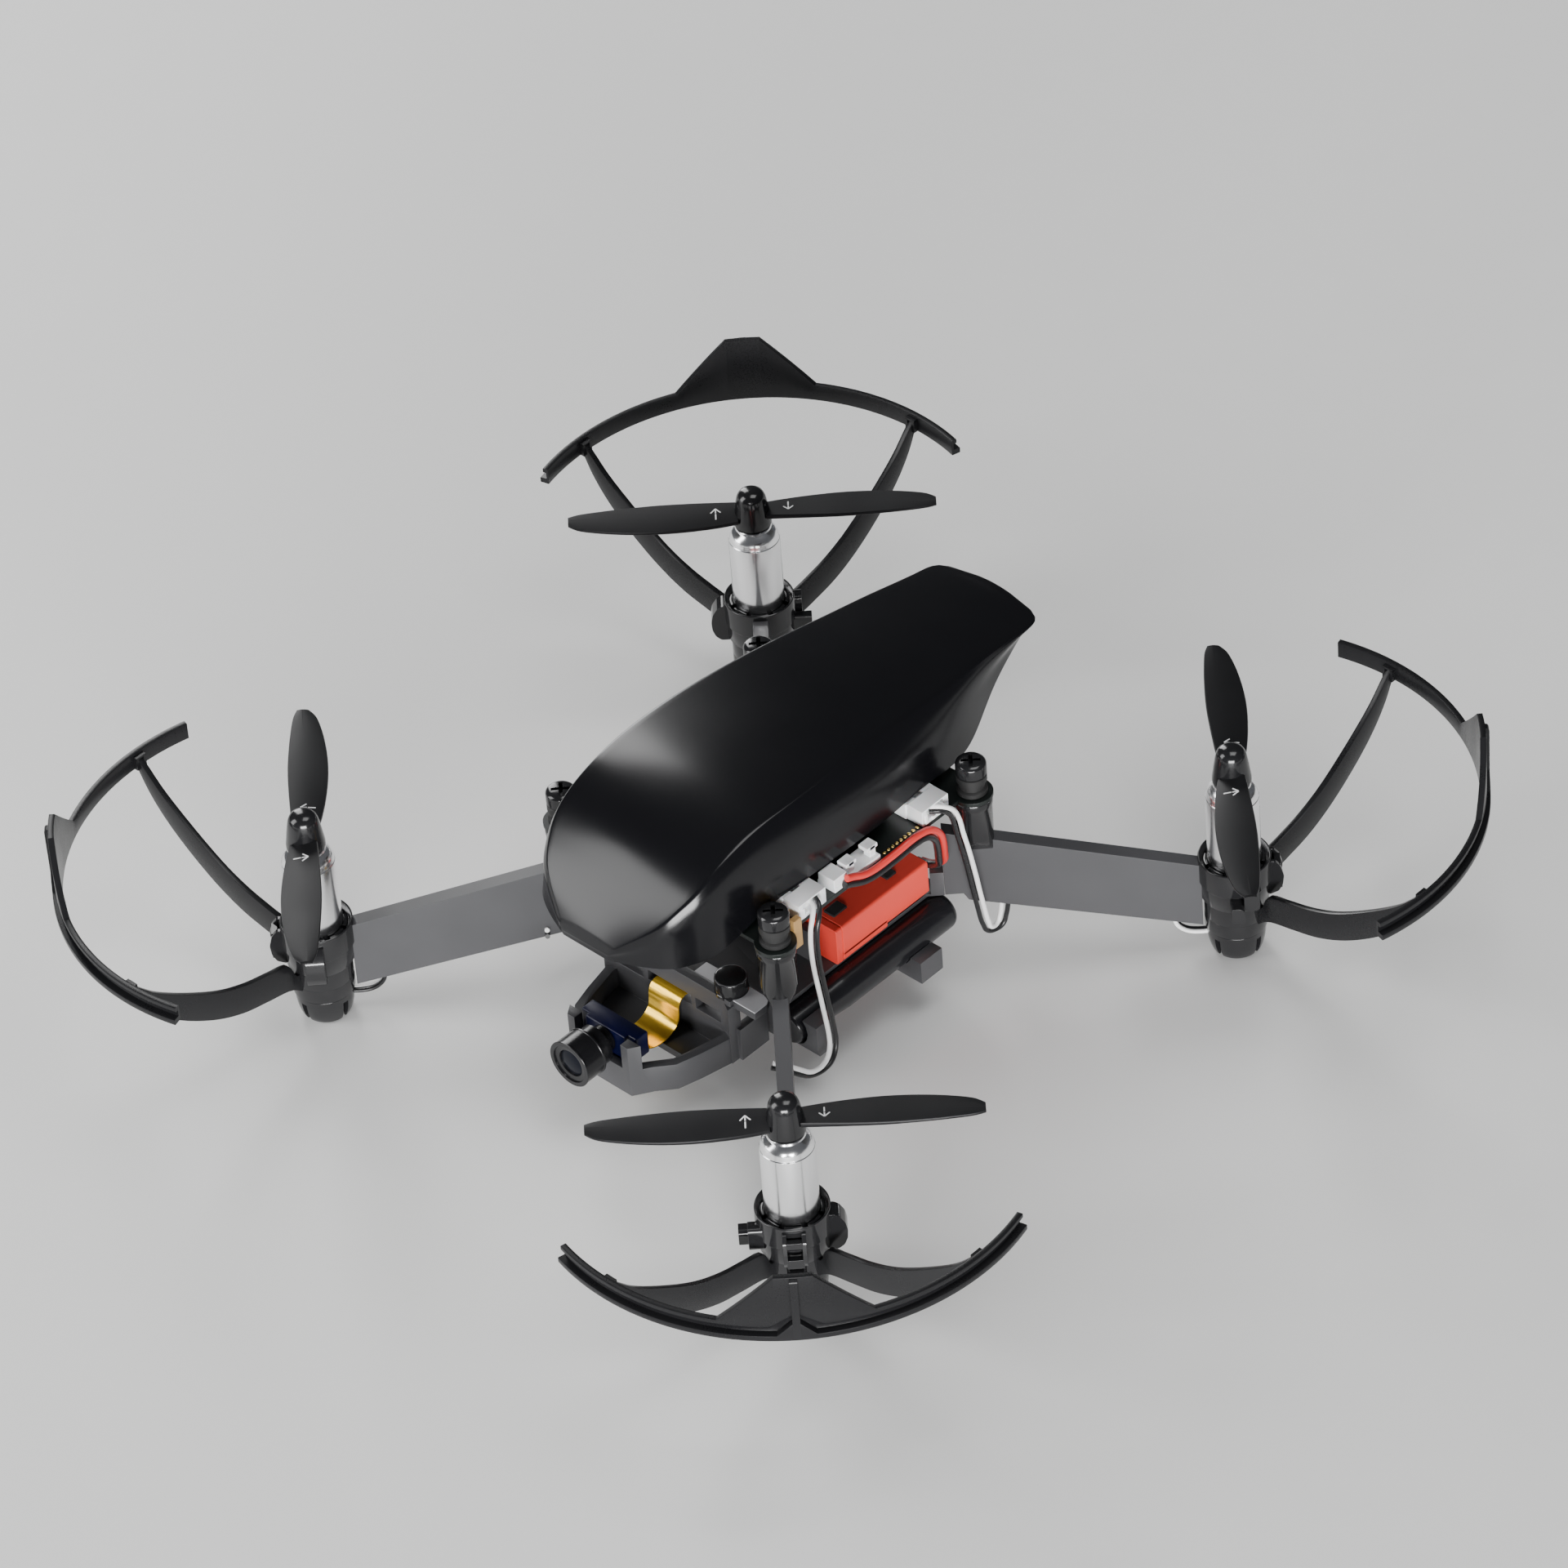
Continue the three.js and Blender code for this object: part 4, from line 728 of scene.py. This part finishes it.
def hood_section(station, inset):
    """A cross-section with a soft fold at the crest; the cavity's is inset and runs out below the foot."""
    y, foot_x, foot_z, waist_x, waist_z, crest_x, crest_z, ridge_z = station
    inner = inset * 0.7
    crest = Vector((crest_x + 0.15 - inner, crest_z - inner))
    side = flowing([(foot_x - inset, foot_z - (6 if inset else 0)), (waist_x - inset, waist_z),
                    (waist_x * 0.35 + crest_x * 0.65 + 0.55 - inset, waist_z * 0.35 + crest_z * 0.65), crest], 4)
    roof = [Vector((crest.x * (1 - t), crest.y + (ridge_z - inset - crest.y) * (1 - (1 - t) ** 2)))
            for t in (0.08, 0.2, 0.35, 0.5, 0.65, 0.8, 0.9, 1.0)]
    soft = min(0.5, 0.8 * (side[-2] - crest).length, 0.8 * (roof[0] - crest).length)
    a, b = crest + (side[-2] - crest).normalized() * soft, crest + (roof[0] - crest).normalized() * soft
    fold = [a * (1 - t) ** 2 + crest * 2 * t * (1 - t) + b * t * t for t in (0, 0.25, 0.5, 0.75, 1)]
    whole = side[:-1] + fold + roof
    whole += [Vector((-p.x, p.y)) for p in reversed(whole[:-1])]
    return [Vector((p.x, y, p.y)) for p in whole]


def hood(inset):
    rows = [row for row in hood_rows() if HOOD_FRONT + inset <= row[0] <= HOOD_BACK - inset]
    return loft([hood_section(row, inset) for row in rows])


def upright(radius, low, high):
    return turned([(0, low), (radius, low), (radius, high), (0, high)], 40)


corners_at = [at(sx * SCREW_OFFSET, sy * SCREW_OFFSET) for _, sx, sy in CORNERS]
cavity = carved(hood(HOOD_WALL), [upright(3.9, 20, 44.3).moved(spot) for spot in corners_at])
shell = carved(hood(0), [cavity, *(upright(3.1, 30, 43.5).moved(spot) for spot in corners_at)])
piece("canopy_moulding", shell, [HOOD], ["canopy"], sharp=30)


# ---- board, battery, tray, tubes ------------------------------------------------------

board = block(-22.4, 22.4, -24.4, 24.4, 34.8, 35.6)
for spot in corners_at:
    board += turned([(1.15, 34.82), (3.3, 34.82), (3.3, 35.58), (1.15, 35.58)], 40).moved(spot)
piece("board_laminate", board, [BOARD_INK], ["main_board"], bevel=0.08)
socket = block(18.6, 22.3, -8.8, 1.6, 35.62, 36.6) + block(18.8, 22.2, -8.8, -5.8, 36.5, 38.1)
for y in (-4.8, 0.0):
    socket += block(20.2, 21.6, y, y + 1.3, 36.5, 38.5) + block(19.6, 21.6, y - 0.5, y + 1.8, 37.8, 38.5)
piece("board_battery_header", socket, [NYLON], ["main_board"], bevel=0.12)
piece("board_shield", round_box(-8, 8, 2, 20, 35.6, 38.6, 0.8), [SHIELD], ["main_board"], bevel=0.3)
chips = block(-3, 3, -8, -2, 35.6, 36.6) + block(8.5, 13.5, -16, -11, 35.6, 36.7)
chips += block(-14, -9, -20, -16, 35.6, 36.5)
piece("board_chips", chips, [CHIP], ["main_board"], bevel=0.1)
caps = Solid([], [])
for s in (-1, 1):
    caps += block(s * 20.6 - 0.9, s * 20.6 + 0.9, -19.9, -18.0, 35.6, 38.4)
    caps += block(s * 23.0 - 0.58, s * 23.0 + 0.58, -19.3, -17.6, 32.1, 37.7)
piece("board_capacitors", caps, [TAN], ["main_board"], bevel=0.15)
pads = Solid([], [])
for s in (-1, 1):
    for k in range(9):
        pads += turned([(0, 35.55), (0.32, 35.55), (0.32, 35.72), (0.2, 35.78), (0, 35.78)], 16).moved(
            at(s * 21.75, 2.9 + k * 0.95))
piece("board_pads", pads, [GOLD], ["main_board"])

x, y0, y1, z0, z1 = 18.0, -5.1, 16.1, 15.75, 22.7  # the cell's half-width and its box
cell = plate(eased([(-x, z0 + 0.7), (x, z0 + 0.7), (x, z1), (-x, z1)], 0.5, 4), y0 + 1.5, y1)
cell += plate(eased([(-x, z0), (x, z0), (x, z0 + 2), (-x, z0 + 2)], 0.5, 4), y0 + 1.5, y0 + 11.5)
front = plate(eased([(-x, z0), (x, z0), (x, z1), (-x, z1)], 0.5, 4), y0, y0 + 1.35)
seam = plate([(-x + 0.2, z0 + 0.2), (x - 0.2, z0 + 0.2), (x - 0.2, z1 - 0.2), (-x + 0.2, z1 - 0.2)],
             y0 + 1, y0 + 2)
tabs = block(13.3, 15.5, -2.8, 0.3, z1 - 0.4, z1 + 0.35) + block(14.4, 16.0, 8.9, 11.1, z1 - 0.4, z1 + 0.35)
piece("battery_cell", cell + front.toned(1) + seam.toned(1) + tabs.toned(2), [WRAP, TAPE, CHIP],
      ["battery"], bevel=0.15, segments=3)

rounded_copy("frame_tray", SATIN, 0.18)
rounded_copy("camera_bracket", SATIN, 0.2)
deck, pods = Solid([], []), Solid([], [])
for s in (-1, 1):
    outline = [(4.0, -23.7), (17.9, -23.7), (17.9, -21.0), (17.2, -19.8), (4.0, -19.8)]
    deck += prism([(s * px, py) for px, py in outline], 18.75, 18.95)
    pods += turned([(0, 18.6), (2.75, 18.6), (2.75, 19.1), (2.65, 19.2), (2.62, 21.3), (2.5, 21.55), (2.3, 21.65),
                    (0, 21.65)], 40).moved(at(s * 11.2, -21.8))
piece("bracket_deck_plates", deck, [DECK], ["camera_bracket"], bevel=0.06)
piece("bracket_pods_turned", pods, [MOULD_GLOSS], ["camera_bracket"])
tube = turned([(0, -17.8), (2.5, -17.8), (2.85, -17.4), (2.85, -10.5), (3.2, -6.3), (3.2, 17.6), (2.9, 18.3),
               (2.2, 18.6), (0, 18.6)], 48, ease=0.3)
for side, s in (("left", 1), ("right", -1)):
    piece(f"tube_{side}_moulding", tube.moved(at(s * 18.65, 0, 11.9) @ ALONG_Y), [TUBE_BLACK],
          [f"side_tube_{side}"], sharp=50)


# ---- camera ---------------------------------------------------------------------------

LENS = at(0, 0, 14.4) @ ALONG_Y
rounded_copy("camera_module", NAVY, 0.3)
barrel = turned([(0, -39.0), (2.3, -39.0), (2.3, -40.7), (3.4, -40.7), (3.4, -42.7), (4.0, -42.75), (4.05, -42.8),
                 (4.05, -43.05), (3.95, -43.15), (3.95, -46.55), (4.05, -46.65), (4.05, -46.85), (4.0, -46.9),
                 (3.3, -46.9), (3.2, -46.6), (2.4, -46.5), (2.3, -46.1), (0, -46.1)], 72)
piece("lens_barrel_turned", barrel.moved(LENS), [LENS_BLACK], ["lens_barrel"], sharp=30)
glass = turned([(0, -46.6), (0.8, -46.57), (1.5, -46.47), (2.1, -46.3), (2.35, -46.15), (0, -46.12)], 48)
piece("lens_glass_ground", glass.moved(LENS), [GLASS], ["lens_glass"], sharp=60)

FLEX = [(-34.9, 12.4), (-34.0, 10.6), (-32.6, 9.4), (-30.9, 8.8), (-29.0, 8.7), (-27.4, 9.2), (-26.3, 10.1),
        (-25.9, 11.6), (-25.8, 13.1), (-25.2, 14.2), (-24.4, 14.6), (-23.4, 14.6)]
FLEX_HALF_WIDTH, FLEX_HALF_THICKNESS = 3.2, 0.09
line = spaced(FLEX, 60)
rings = []
for i, p in enumerate(line):
    along = (line[min(i + 1, len(line) - 1)] - line[max(i - 1, 0)]).normalized()
    lift = Vector((-along.y, along.x)) * FLEX_HALF_THICKNESS
    rings.append([Vector((s * FLEX_HALF_WIDTH, *(p + lift * t))) for s, t in ((-1, -1), (1, -1), (1, 1), (-1, 1))])
piece("flex_film", loft(rings), [FILM], ["flex_ribbon"], sharp=50)


# ---- stage ------------------------------------------------------------------------------

floor_finish = finish("floor_pale", (0.82, 0.82, 0.81), 0.6, grain=1.5, relief=0.05, vary=0.01)
floor_mesh = bpy.data.meshes.new("floor")
floor_mesh.from_pydata([(-6, -6, 0), (6, -6, 0), (6, 6, 0), (-6, 6, 0)], [], [(0, 1, 2, 3)])
floor_mesh.materials.append(floor_finish)
floor = bpy.data.objects.new("floor", floor_mesh)
bpy.context.scene.collection.objects.link(floor)

world = bpy.data.worlds.new("studio")
world.use_nodes = True
sky = world.node_tree.nodes["Background"].inputs
sky["Color"].default_value = (0.90, 0.93, 1.0, 1)
sky["Strength"].default_value = 0.10
bpy.context.scene.world = world


def softbox(name, place, size, power):
    """A rectangular lamp aimed at the drone's middle. Places and sizes are in metres."""
    light = bpy.data.lights.new(name, "AREA")
    light.shape = "RECTANGLE"
    light.size, light.size_y = size
    light.energy = power
    thing = bpy.data.objects.new(name, light)
    thing.location = place
    thing.rotation_euler = (Vector((0, 0, 0.03)) - Vector(place)).to_track_quat("-Z", "Y").to_euler()
    bpy.context.scene.collection.objects.link(thing)


softbox("front", (0.95, -0.92, 0.20), (0.9, 0.30), 34)
softbox("nose", (-0.68, -0.85, 0.56), (0.55, 1.0), 12)
softbox("rim", (-0.9, 0.45, 0.45), (0.3, 0.9), 7)
softbox("over", (0.25, 0.2, 1.35), (0.7, 0.7), 7)
